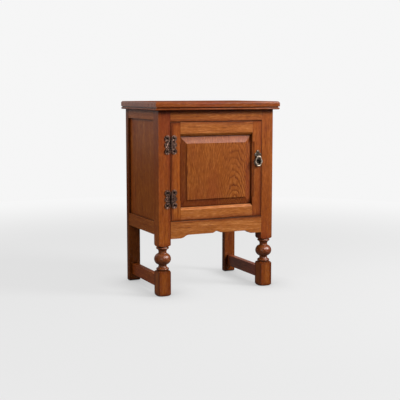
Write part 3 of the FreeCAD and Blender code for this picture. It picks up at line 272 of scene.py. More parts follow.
def oak(name, tones, rough, shine=0.14, coat=0.02, ring_width=0.0042, figure=0.10, tilt=0.035,
        streaks=0.30, ripple=0.9):
    """Stained oak. The grain attribute is metres along, across and through the board from its pith.

    Rough, shine and coat are the finish. Figure is how dark the rings are, tilt how far the pith leaves the
    board's length, streaks how strong the flame marks are and ripple how ragged the rings are.
    """
    made, g = material(name)
    dark, middle, light, red = tones
    grain, local = g.attribute("grain"), g.attribute("local")
    gain, redness, burnish_and_gap_shade = g.split(g.attribute("stain"))

    bent = grain
    for mark, reach in (("sway", SWAY_REACH), ("curl", ring_width * ripple)):
        wander = g.vector("SUBTRACT", g.noise(grain, OAK_MARKS[mark], colour=True), (0.5, 0.5, 0.5))
        bent = g.vector("ADD", bent, g.vector("MULTIPLY", wander, (0.0, reach, reach)))
    along, across, through = g.split(bent)
    # the pith leaves the board's length by the tilt, so rings meet the face in arches
    depth = g.times_add(g.split(local)[0], tilt, through)
    radius = g.length(g.join(across, depth, 0.0))

    # rings start sharp and dark and fade to late wood
    ring = g.math("FRACT", g.math("DIVIDE", radius, ring_width))
    early = g.span(ring, 0.0, EARLY_SHARE, 1.0, 0.0)
    bands = g.noise(g.join(radius, along, 0.0), OAK_MARKS["band"], 3.0, 0.6)
    # pores are short dark dashes along the grain, thickest in the early wood
    dashes = g.noise(bent, OAK_MARKS["pore"], 2.0, 0.55)
    pores = g.times(g.span(dashes, 0.54, 0.68), g.times_add(early, 0.75, 0.25))
    streak = g.noise(bent, OAK_MARKS["streak"], 3.0, 0.62)
    speckle = g.noise(bent, OAK_MARKS["speckle"], 3.0, 0.6)
    flame = g.noise(bent, OAK_MARKS["flame"])
    # rays are pale flecks that cross the grain at a slant
    slant = g.times_add(across, RAY_SLANT, along)
    rays = g.span(g.noise(g.join(slant, across, through), OAK_MARKS["ray"], 1.0), 0.60, 0.74)
    blotch = g.noise(grain, OAK_MARKS["blotch"], 3.0, 0.55)
    drift = g.span(g.noise(grain, OAK_MARKS["drift"]), 0.36, 0.62, 0.25, 1.0)

    # all marks add up to one share between dark and light
    rings = g.times_add(bands, 0.36, g.times_add(early, -figure, figure * 0.35 - 0.18))
    share = g.times_add(rings, drift, g.times_add(streak, 0.22, 0.30))
    share = g.times_add(flame, streaks, g.math("SUBTRACT", share, streaks / 2))
    share = g.times_add(speckle, 0.65, share)
    colour = g.mix(g.span(share, 0.42, 0.78), dark, middle)
    colour = g.mix(g.span(share, 0.72, 1.02), colour, light)
    colour = g.mix(g.times(rays, 0.20), colour, light)
    # redness over zero makes the board redder, under zero more golden with a painted pale sheen
    colour = g.tint(g.times_add(g.span(blotch, 0.42, 0.70), 0.45, redness, clamp=True), colour, red)
    colour = g.tint(g.math("MULTIPLY", redness, -1.0, clamp=True), colour, GOLDEN_SHEEN)
    colour = g.mix(g.times(pores, 0.55), colour, dark)
    colour = g.mix(1.0, colour, g.join(gain, gain, gain), "MULTIPLY")

    # stain gathers towards the edges and ends of each board; a dark line at those edges is partly dark
    # joints and partly painted shade of the gaps; painted shade, with some patina, darkens corners and the
    # parts under ledges
    edge = g.middle(*g.split(g.vector("SUBTRACT", g.attribute("half"), g.vector("ABSOLUTE", local))))
    edge = g.times_add(g.math("SUBTRACT", blotch, 0.5), RIM_WAVER, edge)
    colour = g.tint(g.times(g.span(edge, 0.0, RIM_REACH, 1.0, 0.0), burnish_and_gap_shade), colour, RIM_TONE)
    # dark line at the edges: partly dark joints, partly painted shade in the gaps between parts
    seam_and_gap_shade = g.times(g.span(edge, *SEAM_AND_GAP_SHADE, SEAM_SHADE, 0.0), burnish_and_gap_shade)
    colour = g.mix(seam_and_gap_shade, colour, dimmed(dark, 0.5))
    worn = worn_edges(g, OAK_WORN_RADIUS, 0.90, 0.995)
    colour = g.mix(g.times(worn, g.times(speckle, 0.30)), colour, light)
    # painted shade, with some dark patina: darker in corners, crevices and under ledges, where the AO finds
    # them
    shade_and_patina = recess(g, OAK_SHADE_REACH, 0.28, 0.90)
    colour = g.mix(g.times(shade_and_patina, 0.90), colour, dimmed(dark, 0.18))

    roughness = g.math("ADD", g.times_add(pores, 0.22, rough), g.times(blotch, 0.12))
    height = g.math("SUBTRACT", g.times(streak, 0.25), g.times_add(early, 0.25, pores))
    surface(g, {
        "Base Color": colour, "Roughness": roughness, "Specular IOR Level": shine,
        "Coat Weight": coat, "Coat Roughness": 0.18,
    }, height, distance=0.00025, strength=0.6)
    return made


def metal(name, dark, base, bright, rough):
    """Cast metal with dark patina left in the hollows, painted shade in its recesses and bright rubbed
    edges.
    """
    made, g = material(name)
    spot = g.object_place()
    hollow = g.attribute("hollow", "Fac")
    cloud = g.noise(spot, fine=160.0, detail=4.0, roughness=0.6)
    grit = g.noise(spot, fine=900.0, detail=3.0, roughness=0.6)
    colour = g.mix(g.span(cloud, 0.35, 0.7), dark, base)
    rubbed = g.times(worn_edges(g, 0.0009, 0.85, 0.99), g.span(grit, 0.25, 0.6, 0.5, 1.0))
    colour = g.mix(g.times(rubbed, 0.8), colour, bright)
    patina = g.times(hollow, g.span(cloud, 0.45, 0.75, 1.0, 0.90))
    # painted shade in the recesses, joined with the patina of the hollows
    shade_and_patina = g.math("MAXIMUM", g.times(recess(g, 0.004, 0.30, 0.90), 0.75), patina)
    colour = g.mix(shade_and_patina, colour, dimmed(dark, 0.08))
    roughness = g.math("ADD", g.times_add(grit, 0.20, rough), g.times(shade_and_patina, 0.25))
    surface(g, {"Base Color": colour, "Metallic": 1.0, "Roughness": roughness}, grit,
            distance=0.00012, strength=0.5)
    return made


def moulded(name, colour, rough):
    """Fine-textured moulded plastic."""
    made, g = material(name)
    spot = g.object_place()
    grit = g.noise(spot, fine=1400.0, detail=3.0, roughness=0.6)
    cloud = g.noise(spot, fine=120.0, detail=3.0)
    shade = g.mix(g.span(cloud, 0.3, 0.7), dimmed(colour, 0.8), colour)
    surface(g, {"Base Color": shade, "Roughness": g.times_add(grit, 0.2, rough)}, grit,
            distance=0.0001, strength=0.4)
    return made


STAINED = Tones((0.105, 0.0180, 0.0020), (0.290, 0.0700, 0.0065), (0.460, 0.148, 0.0240), (0.80, 0.52, 0.90))
UNSEEN = Tones((0.115, 0.036, 0.011), (0.255, 0.095, 0.031), (0.375, 0.168, 0.064), (0.85, 0.70, 0.70))
RAW = Tones((0.30, 0.18, 0.09), (0.46, 0.30, 0.16), (0.58, 0.41, 0.25), (0.9, 0.8, 0.7))

OAK = oak("stained_oak", STAINED, 0.34)
PANEL = oak("figured_oak", STAINED, 0.32, shine=0.18, ring_width=0.0048, figure=0.30, tilt=-0.22,
            streaks=0.08, ripple=1.7)
TOP = oak("polished_oak", STAINED, 0.22, shine=0.26, coat=0.08)
SATIN = oak("satin_oak", STAINED, 0.60, shine=0.04, coat=0.0)  # too matt to mirror the key lamp
TURNED = oak("turned_oak", STAINED, 0.29, shine=0.44, coat=0.12)
INSIDE = oak("inside_oak", UNSEEN, 0.48)
BARE = oak("bare_hardwood", RAW, 0.60)
BRONZE = metal("antique_bronze", (0.060, 0.030, 0.022), (0.270, 0.155, 0.115), (0.92, 0.68, 0.56), 0.32)
WORN_BRONZE = metal("dark_bronze", (0.016, 0.008, 0.006), (0.060, 0.034, 0.026), (0.45, 0.32, 0.26), 0.36)
BRASS = metal("aged_brass", (0.050, 0.037, 0.028), (0.260, 0.200, 0.150), (0.80, 0.68, 0.56), 0.34)
RUBBED = metal("rubbed_brass", (0.180, 0.140, 0.105), (0.560, 0.470, 0.375), (0.92, 0.82, 0.70), 0.32)
STEEL = metal("dark_steel", (0.003, 0.003, 0.002), (0.010, 0.008, 0.007), (0.07, 0.06, 0.05), 0.55)
PLATED = metal("plated_steel", (0.25, 0.25, 0.25), (0.50, 0.50, 0.50), (0.75, 0.75, 0.75), 0.28)
MAGNET = metal("magnet_black", (0.02, 0.02, 0.02), (0.05, 0.05, 0.05), (0.15, 0.15, 0.15), 0.50)
CASE = moulded("brown_plastic", (0.085, 0.045, 0.028), 0.45)


# Pieces


def add_object(name, data):
    made = bpy.data.objects.new(name, data)
    bpy.context.scene.collection.objects.link(made)
    return made


def add_piece(name, mesh, look, body, slot, *replaced):
    """Puts a mesh in the scene as a piece that rides on a body and may stand for CAD nodes."""
    piece = add_object(name, mesh)
    mesh.materials.clear()
    mesh.materials.append(look)
    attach(piece, body)
    if replaced:
        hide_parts(*replaced)
    return piece


def welded(node):
    """A node's mesh with the points of its faces joined."""
    bm = bmesh.new()
    bm.from_mesh(nodes[node].data)
    bmesh.ops.remove_doubles(bm, verts=bm.verts, dist=WELD)
    return bm


# Woodwork


# for each way of the grain, the axes along, across and through the board
GRAIN_AXES = {"X": (0, 2, 1), "Y": (1, 2, 0), "Z": (2, 0, 1), "flat": (0, 1, 2)}
NO_RIM = 1.0                     # how far out an edge is put that shows no gathered stain
GRAIN_SHIFT = (3.0, 0.02, 0.01)  # most that chance moves a board along, across and through its tree
PLANK_GAIN = (0.90, 1.10)        # range of the gains of boards that are joined in one part
FIELD_CUT = 0.2                  # how far the shoulder round a raised field leans in, in millimetres
WIDE_FACE = 1e-4                 # an edge between faces over this area is eased from the smaller angle
WIDE_ANGLE, EASED_ANGLE = math.radians(10), math.radians(28)
SAME_PLANE = math.radians(0.4)   # faces that differ by less are one face
WOOD_SHARP = math.radians(50)    # edges sharper than this are shaded as edges
draw = random.Random(11)         # seeded, so that each run gives the same boards


def store(mesh, name, rows):
    """Puts a vector on every face corner."""
    values = [value for row in rows for value in row]
    mesh.attributes.new(name, "FLOAT_VECTOR", "CORNER").data.foreach_set("vector", values)


def drawn_offset(pith):
    """Where a board was cut from its tree, about the pith that it is given."""
    along, across, through = (draw.uniform(-reach, reach) for reach in GRAIN_SHIFT)
    return Vector((along, across - pith[0], through - pith[1]))


def set_grain(mesh, node, axis, stain, pith, rims="", planks=(), slope=(1.0, 0.0)):
    """Stores on each face corner its place in the board from the pith and from the middle, and its stain,
    which also carries painted shade.

    The stain is gain, redness and burnish with gap shade, each one number or a pair for the low and the high
    end.
    Rims are the edges with gathered stain, dark joint lines and painted gap shade, at the low and high end
    along (u) and across (v) the board.
    Bevel shade is painted shade on tilted faces: a factor on the gain and an addition to the redness.
    """
    axes = GRAIN_AXES[axis]
    low, high = [[corner[i] for i in axes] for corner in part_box(node)]
    ends = low[0], high[0]
    middle = Vector([(a + b) / 2 for a, b in zip(low, high)])
    for i, letter in enumerate("uv"):
        low[i] -= 0.0 if letter + "-" in rims else NO_RIM
        high[i] += 0.0 if letter + "+" in rims else NO_RIM
    centre = Vector([(a + b) / 2 for a, b in zip(low, high)])
    half = Vector([(b - a) / 2 for a, b in zip(low, high)])
    stain_low, stain_high = [Vector([value[end] if isinstance(value, tuple) else value for value in stain])
                             for end in (0, 1)]
    offsets = [drawn_offset(pith) for _ in range(len(planks) + 1)]
    gains = [draw.uniform(*PLANK_GAIN) if planks else 1.0 for _ in offsets]
    grain, local, stains = [], [], []
    for face in mesh.polygons:
        board = sum(face.center[axes[1]] > edge for edge in planks)
        square = max(abs(part) for part in face.normal) > SQUARE
        for corner in face.loop_indices:
            spot = mesh.vertices[mesh.loops[corner].vertex_index].co
            place = Vector([spot[i] for i in axes])
            local.append(place - centre)
            grain.append(place - middle + offsets[board])
            gain, redness, burnish_and_gap_shade = stain_low.lerp(stain_high, (place[0] - ends[0]) / (ends[1] - ends[0]))
            gain *= gains[board]
            # tilted faces get painted shade: darker and redder
            if not square:
                gain, redness = gain * slope[0], redness + slope[1]
            stains.append((gain, redness, burnish_and_gap_shade))
    store(mesh, "grain", grain)
    store(mesh, "local", local)
    store(mesh, "half", [half] * len(local))
    store(mesh, "stain", stains)


def meets_sharply(edge):
    """Whether two faces make an edge to ease: a mitre between wide faces may be blunter than others."""
    if len(edge.link_faces) != 2 or not edge.is_convex:
        return False
    wide = min(face.calc_area() for face in edge.link_faces) > WIDE_FACE
    return edge.calc_face_angle() > (WIDE_ANGLE if wide else EASED_ANGLE)


def raise_field(bm, rise):
    """Lifts the field of a raised panel, so that a small shoulder stands round it."""
    front = min(vert.co.y for vert in bm.verts)
    field = [face for face in bm.faces if all(vert.co.y - front < ON_LEVEL for vert in face.verts)]
    bmesh.ops.inset_region(bm, faces=field, thickness=FIELD_CUT * MM, depth=rise * MM, use_even_offset=True)


def timber(node, axis, *, ease=0.8, gain=1.0, redness=0.0, burnish_and_gap_shade=0.8, pith=(0.10, 0.06), look=OAK,
           upper=None, field_rise=0.0, planks=(), **marks):
    """A wood part with eased edges, its joints and cuts as they are. Its upper face may have its own look.

    Ease and field_rise are in millimetres. Planks are the joints, in Y, of a part made of several boards.
    Marks are the rims and the bevel shade that set_grain takes.
    """
    bm = welded(node)
    bmesh.ops.dissolve_limit(bm, angle_limit=SAME_PLANE, verts=bm.verts, edges=bm.edges)
    for edge in planks:
        bmesh.ops.bisect_plane(bm, geom=bm.verts[:] + bm.edges[:] + bm.faces[:],
                               plane_co=(0, edge, 0), plane_no=(0, 1, 0))
    if field_rise:
        raise_field(bm, field_rise)
    sharp = [edge for edge in bm.edges if meets_sharply(edge)]
    bmesh.ops.bevel(bm, geom=sharp, offset=ease * MM, offset_type="OFFSET", segments=3, profile=0.5,
                    affect="EDGES", clamp_overlap=True)
    mesh = bpy.data.meshes.new(node + "_wood")
    bm.to_mesh(mesh)
    bm.free()
    set_grain(mesh, node, axis, (gain, redness, burnish_and_gap_shade), pith, planks=planks, **marks)
    mesh.shade_smooth()
    mesh.set_sharp_from_angle(angle=WOOD_SHARP)
    piece = add_piece(node + "_wood", mesh, look, body_of[node], slot_of[node], node)
    if upper:
        mesh.materials.append(upper)
        for face in mesh.polygons:
            face.material_index = int(face.normal.z > SQUARE)
    piece.modifiers.new("flat_faces", "WEIGHTED_NORMAL").keep_sharp = True


def turning(node, *, gain, redness, pith):
    """A turned part, in its CAD shape."""
    mesh = nodes[node].data.copy()
    set_grain(mesh, node, "Z", (gain, redness, 0.0), pith)
    add_piece(node + "_wood", mesh, TURNED, body_of[node], slot_of[node], node)


def add_side(side, sign, *, post, rear_shade_gain, stretcher):
    """The legs, rails, panel and stretcher of one side; sign is -1 on the left and 1 on the right."""
    leg_pith, rail_pith = (sign * 0.09, 0.07), (0.09, sign * -0.05)
    timber(f"front_{side}_post", "Z", ease=1.0, pith=leg_pith, **post)
    # its rear leg is darkened by the rear shade gain: painted shade at the back of the cabinet
    timber(f"rear_{side}_post", "Z", ease=1.0, gain=rear_shade_gain, redness=0.15, pith=(sign * 0.08, 0.09),
           rims="u-u+")
    timber(f"front_{side}_foot", "Z", gain=0.80, redness=0.10, burnish_and_gap_shade=0.7, pith=leg_pith, rims="u-u+v-v+")
    turning(f"front_{side}_baluster", gain=0.64, redness=0.3, pith=leg_pith)
    for level in ("top", "bottom"):
        timber(f"{side}_{level}_rail", "Y", gain=0.92, pith=rail_pith)
    timber(f"{side}_side_panel", "Z", ease=0.3, gain=0.92, burnish_and_gap_shade=0.0, pith=(0.03, sign * -0.10))
    timber(f"{side}_stretcher", "Y", ease=0.9, burnish_and_gap_shade=0.6, pith=(0.08, sign * -0.05), **stretcher)
    timber(f"{side}_floor_cleat", "Y", ease=0.6, look=BARE)


timber("table_top", "flat", ease=0.5, gain=0.76, redness=0.45, burnish_and_gap_shade=0.3, pith=(0.0, -0.05), look=TOP,
       upper=SATIN, planks=(-0.055, 0.051))
# painted shade darkens the rear legs, most on the left, away from the key lamp
add_side("left", -1, rear_shade_gain=0.54,
         post={"gain": (1.02, 0.76), "redness": (0.05, 0.60), "rims": "u-u+v+"},
         stretcher={"gain": 0.92, "redness": 0.2})
add_side("right", 1, rear_shade_gain=0.66,
         post={"gain": (0.84, 0.88), "redness": (0.30, 0.05), "rims": "u-u+"},
         # the right stretcher grows lighter towards the back: a painted sheen
         stretcher={"gain": (0.90, 1.05), "redness": 0.50, "look": TURNED})
# negative redness makes these boards golden and paints a pale sheen on them
timber("front_top_rail", "X", redness=-0.2, pith=(0.09, 0.05), rims="v-v+")
timber("front_apron", "X", gain=1.12, redness=-0.7, pith=(0.05, 0.06), rims="v+")
timber("back_top_rail", "X")
timber("back_bottom_rail", "X")
timber("back_panel", "Z", ease=0.3, burnish_and_gap_shade=0.0, pith=(0.02, 0.08), look=INSIDE)
timber("cabinet_floor", "flat", ease=0.4, burnish_and_gap_shade=0.2, pith=(0.0, -0.06), look=INSIDE)
timber("top_buttons", "X", ease=0.6, look=BARE)
timber("door_hinge_stile", "Z", gain=0.94, redness=(0.0, 0.35), pith=(-0.09, 0.06), rims="u-u+v-")
timber("door_lock_stile", "Z", gain=(0.82, 0.94), redness=(0.40, 0.0), pith=(0.10, 0.05), rims="u-u+v+")
# negative redness here also paints a pale sheen on the rails
timber("door_top_rail", "X", gain=1.12, redness=-0.6, pith=(0.07, 0.06), rims="v+")
timber("door_bottom_rail", "X", gain=1.18, redness=-0.7, pith=(0.08, 0.05), rims="v-")
# the panel's tilted bevels are darker and redder: painted shade
timber("door_panel", "Z", ease=0.5, gain=0.81, pith=(0.06, 0.044), look=PANEL, rims="u-u+v-",
       slope=(0.90, 0.35), field_rise=1.2)

LOOKS = {"hinge_bronze": WORN_BRONZE, "pull_brass": BRASS, "screw_steel": STEEL, "catch_case": CASE,
         "catch_steel": PLATED, "magnet": MAGNET}
for name, item in nodes.items():
    if slot_of[name] in LOOKS:
        item.data.materials.clear()
        item.data.materials.append(RUBBED if name == "pull_ring" else LOOKS[slot_of[name]])


# Cast metalwork


CAST_SHARP = math.radians(55)
LEAF_STEP, SCREW_STEP, PLATE_STEP = 0.42 * MM, 0.22 * MM, 0.38 * MM  # grids of the reliefs


def front_level(node):
    """Y of the widest flat front of a part."""
    areas = {}
    for face in nodes[node].data.polygons:
        if face.normal.y < -SQUARE:
            level = round(face.center.y, 5)
            areas[level] = areas.get(level, 0.0) + face.area
    return max(areas, key=areas.get)


def face_outline(node, level):
    """Edges, in X and Z, round the flat front of a part at one level of Y."""
    bm = welded(node)
    flat = {face for face in bm.faces if all(abs(vert.co.y - level) < ON_LEVEL for vert in face.verts)}
    rows = [[(vert.co.x, vert.co.z) for vert in edge.verts] for edge in bm.edges
            if sum(face in flat for face in edge.link_faces) == 1]
    bm.free()
    return np.array(rows)


def circle_outline(x, z, radius, count=48):
    turns = np.linspace(0.0, math.tau, count + 1)
    points = np.stack([x + radius * np.cos(turns), z + radius * np.sin(turns)], -1)
    return np.stack([points[:-1], points[1:]], 1)


def inside_depth(points, rows):
    """Distance of each point from the outline, negative outside it."""
    start, end = rows[:, 0], rows[:, 1]
    way = end - start
    gap = points[:, None] - start
    share = np.clip((gap * way).sum(-1) / (way * way).sum(-1), 0.0, 1.0)
    near = np.sqrt(((gap - share[..., None] * way) ** 2).sum(-1).min(1))
    x, z = points[:, None, 0], points[:, None, 1]
    spans = (start[:, 1] > z) != (end[:, 1] > z)
    rise = np.where(spans, end[:, 1] - start[:, 1], 1.0)
    crossed = spans & (x < start[:, 0] + way[:, 0] * (z - start[:, 1]) / rise)
    return np.where(crossed.sum(1) % 2 == 1, near, -near)


def cut_grid(grid, depth):
    """The part of a grid of squares that lies inside: its points, their depths and its faces."""
    points, depths, index, faces = [], [], {}, []

    def point(a, b=None):
        """A grid point, or the point where the outline crosses between two."""
        key = a if b is None else (min(a, b), max(a, b))
        if key not in index:
            index[key] = len(points)
            share = 0.0 if b is None else depth[a] / (depth[a] - depth[b])
            points.append(grid[a] if b is None else grid[a] + share * (grid[b] - grid[a]))
            depths.append(depth[a] if b is None else 0.0)
        return index[key]

    for i in range(grid.shape[0] - 1):
        for j in range(grid.shape[1] - 1):
            ring = [(i, j), (i + 1, j), (i + 1, j + 1), (i, j + 1)]
            face = []
            for a, b in zip(ring, ring[1:] + ring[:1]):
                if depth[a] > 0:
                    face.append(point(a))
                if (depth[a] > 0) != (depth[b] > 0):
                    face.append(point(a, b))
            if face:
                faces.append(face)
    return np.array(points), np.array(depths), faces


def open_sides(faces):
    """Edges that belong to one face only, in that face's direction."""
    sides = {}
    for face in faces:
        for a, b in zip(face, face[1:] + face[:1]):
            if (b, a) in sides:
                del sides[(b, a)]
            else:
                sides[(a, b)] = True
    return sides


def relief(rows, level, height, step, inset=0.15 * MM, sunk=0.4 * MM):
    """A closed casting: its front stands at a height over the level, its back is flat and sunk in."""
    low, high = rows.min((0, 1)) - step, rows.max((0, 1)) + 2 * step
    xs, zs = np.arange(low[0], high[0], step), np.arange(low[1], high[1], step)
    grid = np.stack(np.meshgrid(xs, zs, indexing="ij"), -1)
    depth = inside_depth(grid.reshape(-1, 2), rows).reshape(grid.shape[:2]) - inset
    clear = 0.08 * step    # keeps the outline off the grid points, where it would make slivers
    depth = np.where(abs(depth) < clear, np.where(depth < 0, -clear, clear), depth)
    points, depths, faces = cut_grid(grid, depth)
    rise, hollow = height(points, depths)
    count = len(points)
    front = np.stack([points[:, 0], level - rise, points[:, 1]], -1)
    back = np.stack([points[:, 0], np.full(count, level + sunk), points[:, 1]], -1)
    backs = [[v + count for v in reversed(face)] for face in faces]
    walls = [[b, a, a + count, b + count] for a, b in open_sides(faces)]
    return np.concatenate([front, back]), faces + backs + walls, np.concatenate([hollow, hollow])


def casting(name, reliefs, look, body, slot, *replaced):
    """One piece from one or more reliefs."""
    points, faces, hollows, total = [], [], [], 0
    for places, rings, hollow in reliefs:
        points.append(places)
        hollows.append(hollow)
        faces += [[v + total for v in ring] for ring in rings]
        total += len(places)
    mesh = bpy.data.meshes.new(name)
    mesh.from_pydata(np.concatenate(points).tolist(), [], faces)
    mesh.attributes.new("hollow", "FLOAT", "POINT").data.foreach_set("value", np.concatenate(hollows))
    mesh.shade_smooth()
    mesh.set_sharp_from_angle(angle=CAST_SHARP)
    add_piece(name, mesh, look, body, slot, *replaced)


# A height function takes points and their depths inside the outline. It gives each point's height over the
# face, in metres, and from 0 to 1 how deep it lies in a hollow. The sizes written in it are in millimetres.


def bead(distance, half_width):
    """Round ridge: one on its line, zero from half its width out."""
    return np.sqrt(np.clip(1.0 - (distance / half_width) ** 2, 0.0, 1.0))


def smooth(value, low, high):
    share = np.clip((value - low) / (high - low), 0.0, 1.0)
    return share * share * (3.0 - 2.0 * share)


def cast_front(rise, rim, hollow_from):
    """Ornament on a thin ground, rounded off at the outline, and its hollows."""
    ground, ornament = 0.08, rise * smooth(rim, -0.15, 0.5)
    return (ground + ornament) * MM, 1.0 - smooth(rise, hollow_from, 0.55)


def leaf_height(axis, middle, sign):
    """Lobed leaf: a rim, a cup with petals round each screw, a boss and scrolls between."""
    screw_out, screw_up, cup = 12.0, 21.0, 5.4
    petals, petal_ring = 6, 7.6
    boss_out, boss_ring = 13.0, 5.2
    scroll_out, scroll_up, scroll_ring = 8.0, 10.5, 3.6
    fine = 0.9

    def height(points, depths):
        out, up = sign * (points[:, 0] - axis) / MM, abs(points[:, 1] - middle) / MM
        rim = depths / MM
        screw = np.hypot(out - screw_out, up - screw_up)
        turn = np.arctan2(up - screw_up, out - screw_out)
        boss = np.hypot(out - boss_out, up)
        scroll = np.hypot(out - scroll_out, up - scroll_up)
        rise = np.maximum.reduce([
            0.75 * bead(rim - 1.0, 1.0) * smooth(screw, 5.6, 6.4),
            0.70 * bead(screw - cup, fine),
            (0.24 + 0.16 * np.cos(petals * turn)) * bead(screw - petal_ring, 1.6),
            0.85 * bead(boss, 3.0),
            0.60 * bead(boss - boss_ring, fine),
            0.65 * bead(scroll - scroll_ring, fine),
        ])
        return cast_front(rise, rim, 0.18)
    return height


def screw_height(x, z, turn):
    """Low domed head with a straight slot."""
    edge, dome, slot_depth = 0.55, 0.40, 0.55

    def height(points, depths):
        right, up = (points[:, 0] - x) / MM, (points[:, 1] - z) / MM
        slot = 1.0 - smooth(abs(right * math.cos(turn) + up * math.sin(turn)), 0.32, 0.48)
        rounding = 0.35 * (1.0 - smooth(depths / MM, 0.0, 0.5))
        return (edge + dome * bead(np.hypot(right, up), 3.0) - slot_depth * slot - rounding) * MM, slot
    return height


def plate_height(x, z):
    """Pull plate: a rim round the edge and the piercings, a ring on the disc and a rib to the finial."""
    disc_down, disc_ring, finial_up = 17.5, 10.0, 17.5

    def height(points, depths):
        across, up = abs(points[:, 0] - x) / MM, (points[:, 1] - z) / MM
        rim = depths / MM
        disc = np.hypot(across, up + disc_down)
        rise = np.maximum.reduce([
            0.80 * bead(rim - 0.9, 0.9),
            0.55 * bead(disc - disc_ring, 0.9),
            0.35 * bead(disc, 4.0),
            0.60 * bead(across, 1.1) * smooth(up, 3.0, 6.0),
            0.70 * bead(np.hypot(across, up - finial_up), 3.2),
        ])
        return cast_front(rise, rim, 0.12)
    return height


def islands(node):
    """Boxes of the separate solids in a part, in order."""
    bm = welded(node)
    left, found = set(bm.verts), []
    while left:
        group, stack = [], [left.pop()]
        while stack:
            vert = stack.pop()
            group.append(vert.co.copy())
            for edge in vert.link_edges:
                other = edge.other_vert(vert)
                if other in left:
                    left.remove(other)
                    stack.append(other)
        found.append([[pick(co[i] for co in group) for i in range(3)] for pick in (min, max)])
    bm.free()
    return sorted(found)


def add_hinge_castings():
    axis = joints["door_hinge"]["pos_m"][0]
    owners = ("post", -1), ("door", 1)
    for level in ("upper", "lower"):
        low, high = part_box(f"{level}_hinge_pin")
        middle = (low.z + high.z) / 2
        for owner, sign in owners:
            node = f"{level}_hinge_{owner}_leaf"
            front = front_level(node)
            made = relief(face_outline(node, front), front, leaf_height(axis, middle, sign), LEAF_STEP)
            casting(f"{node}_relief", [made], BRONZE, body_of[node], slot_of[node])
    for owner, _ in owners:
        node = f"hinge_{owner}_screws"
        front = front_level(f"upper_hinge_{owner}_leaf")
        heads = []
        for low, high in islands(node):
            x, z = (low[0] + high[0]) / 2, (low[2] + high[2]) / 2
            rows = circle_outline(x, z, (high[0] - low[0]) / 2)
            heads.append(relief(rows, front, screw_height(x, z, draw.uniform(0, math.pi)), SCREW_STEP))
        casting(f"{node}_slotted", heads, STEEL, body_of[node], slot_of[node], node)


def add_pull_casting():
    node = "pull_backplate"
    x, _, z = joints["ring_swing"]["pos_m"]
    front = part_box(node)[0].y
    made = relief(face_outline(node, front), front, plate_height(x, z), PLATE_STEP)
    casting("pull_plate_relief", [made], BRASS, body_of[node], slot_of[node])


add_hinge_castings()
add_pull_casting()


# Studio: turns are in degrees from the front towards the right, rises from level


Card = namedtuple("Card", "turn reach low high strength")
Wall = namedtuple("Wall", "radius low high gap")
Lamp = namedtuple("Lamp", "name turn rise distance size power glossy")

KEY = Lamp("key", turn=51.0, rise=33.0, distance=2.6, size=0.9, power=84.0, glossy=True)
FILL = Lamp("fill", turn=-60.0, rise=35.0, distance=2.8, size=1.6, power=26.0, glossy=False)
LAMP_AIM = Vector((0, -0.05, 0.35))
WALLS = Wall(radius=1.5, low=0.0, high=2.4, gap=15), Wall(radius=4.5, low=-2.0, high=3.2, gap=0)
WALL_STEP = 3                          # degrees
WALL_LEVEL, DISC_LEVEL = 0.03, 0.16    # glow of the walls and of the disc over the floor
DISC_RISE = 0.0004
DISC_SIDES = 96
CARDS = (
    Card(turn=22.0, reach=34.0, low=1.0, high=1.7, strength=14.0),
    Card(turn=-40.0, reach=16.0, low=0.1, high=0.8, strength=2.0),
    Card(turn=-150.0, reach=40.0, low=0.42, high=1.8, strength=0.65),
    Card(turn=155.0, reach=40.0, low=0.2, high=0.3, strength=1.2),
)
CARD_CORE = 0.6                        # part of a card's reach that has its full strength
CARD_FADE_LOW, CARD_FADE_HIGH = 0.1, 0.2
FLAG_BEFORE, FLAG_OVER = 0.10, 0.003   # how far before the front and over the top the flag stands
FLAG_REACH, FLAG_TOP, FLAG_LEVEL = 1.2, 1.5, 0.10
FLOOR_PLAIN, FLOOR_RADIUS = 1.0, 2.6   # the floor fades from one radius to the other
FLOOR_DROP = 0.0005
FLOOR_NEAR, FLOOR_FADE = 0.69, 0.24    # how pale the floor is, and what is added far away
FLOOR_MATT = 0.10
# painted contact shadow on the floor: how far the AO looks for the object and how dark it gets
CONTACT_SHADOW_REACH, CONTACT_SHADOW_LEVEL = 0.13, 0.40
WORLD_LIGHT, WORLD_SEEN = 0.42, 0.92   # the world as a light, and as the background that is seen
SENSOR_WIDTH, LENS = 36.0, 78.78       # millimetres
CAMERA_PLACE = (-1.29723, -2.7545, 0.67334)
CAMERA_LOOK = Vector((0.4235, 0.8974, -0.1231))


def turned(degrees):
    """Level direction at a turn from the front."""
    return math.sin(math.radians(degrees)), -math.cos(math.radians(degrees))


def add_stage(name, mesh, look, reflected_only=True):
    """A thing of the studio, which the camera may see or only reflections meet."""
    made = add_object(name, mesh)
    mesh.materials.append(look)
    if reflected_only:
        made.visible_camera = False
        made.visible_diffuse = False
        made.visible_shadow = False
    return made


def seen_share(graph):
    """One for rays that show the background itself: camera, glossy and transmission rays."""
    path = graph.add("ShaderNodeLightPath").outputs
    mirrored = graph.math("MAXIMUM", path["Is Glossy Ray"], path["Is Transmission Ray"])
    return graph.math("MAXIMUM", path["Is Camera Ray"], mirrored)


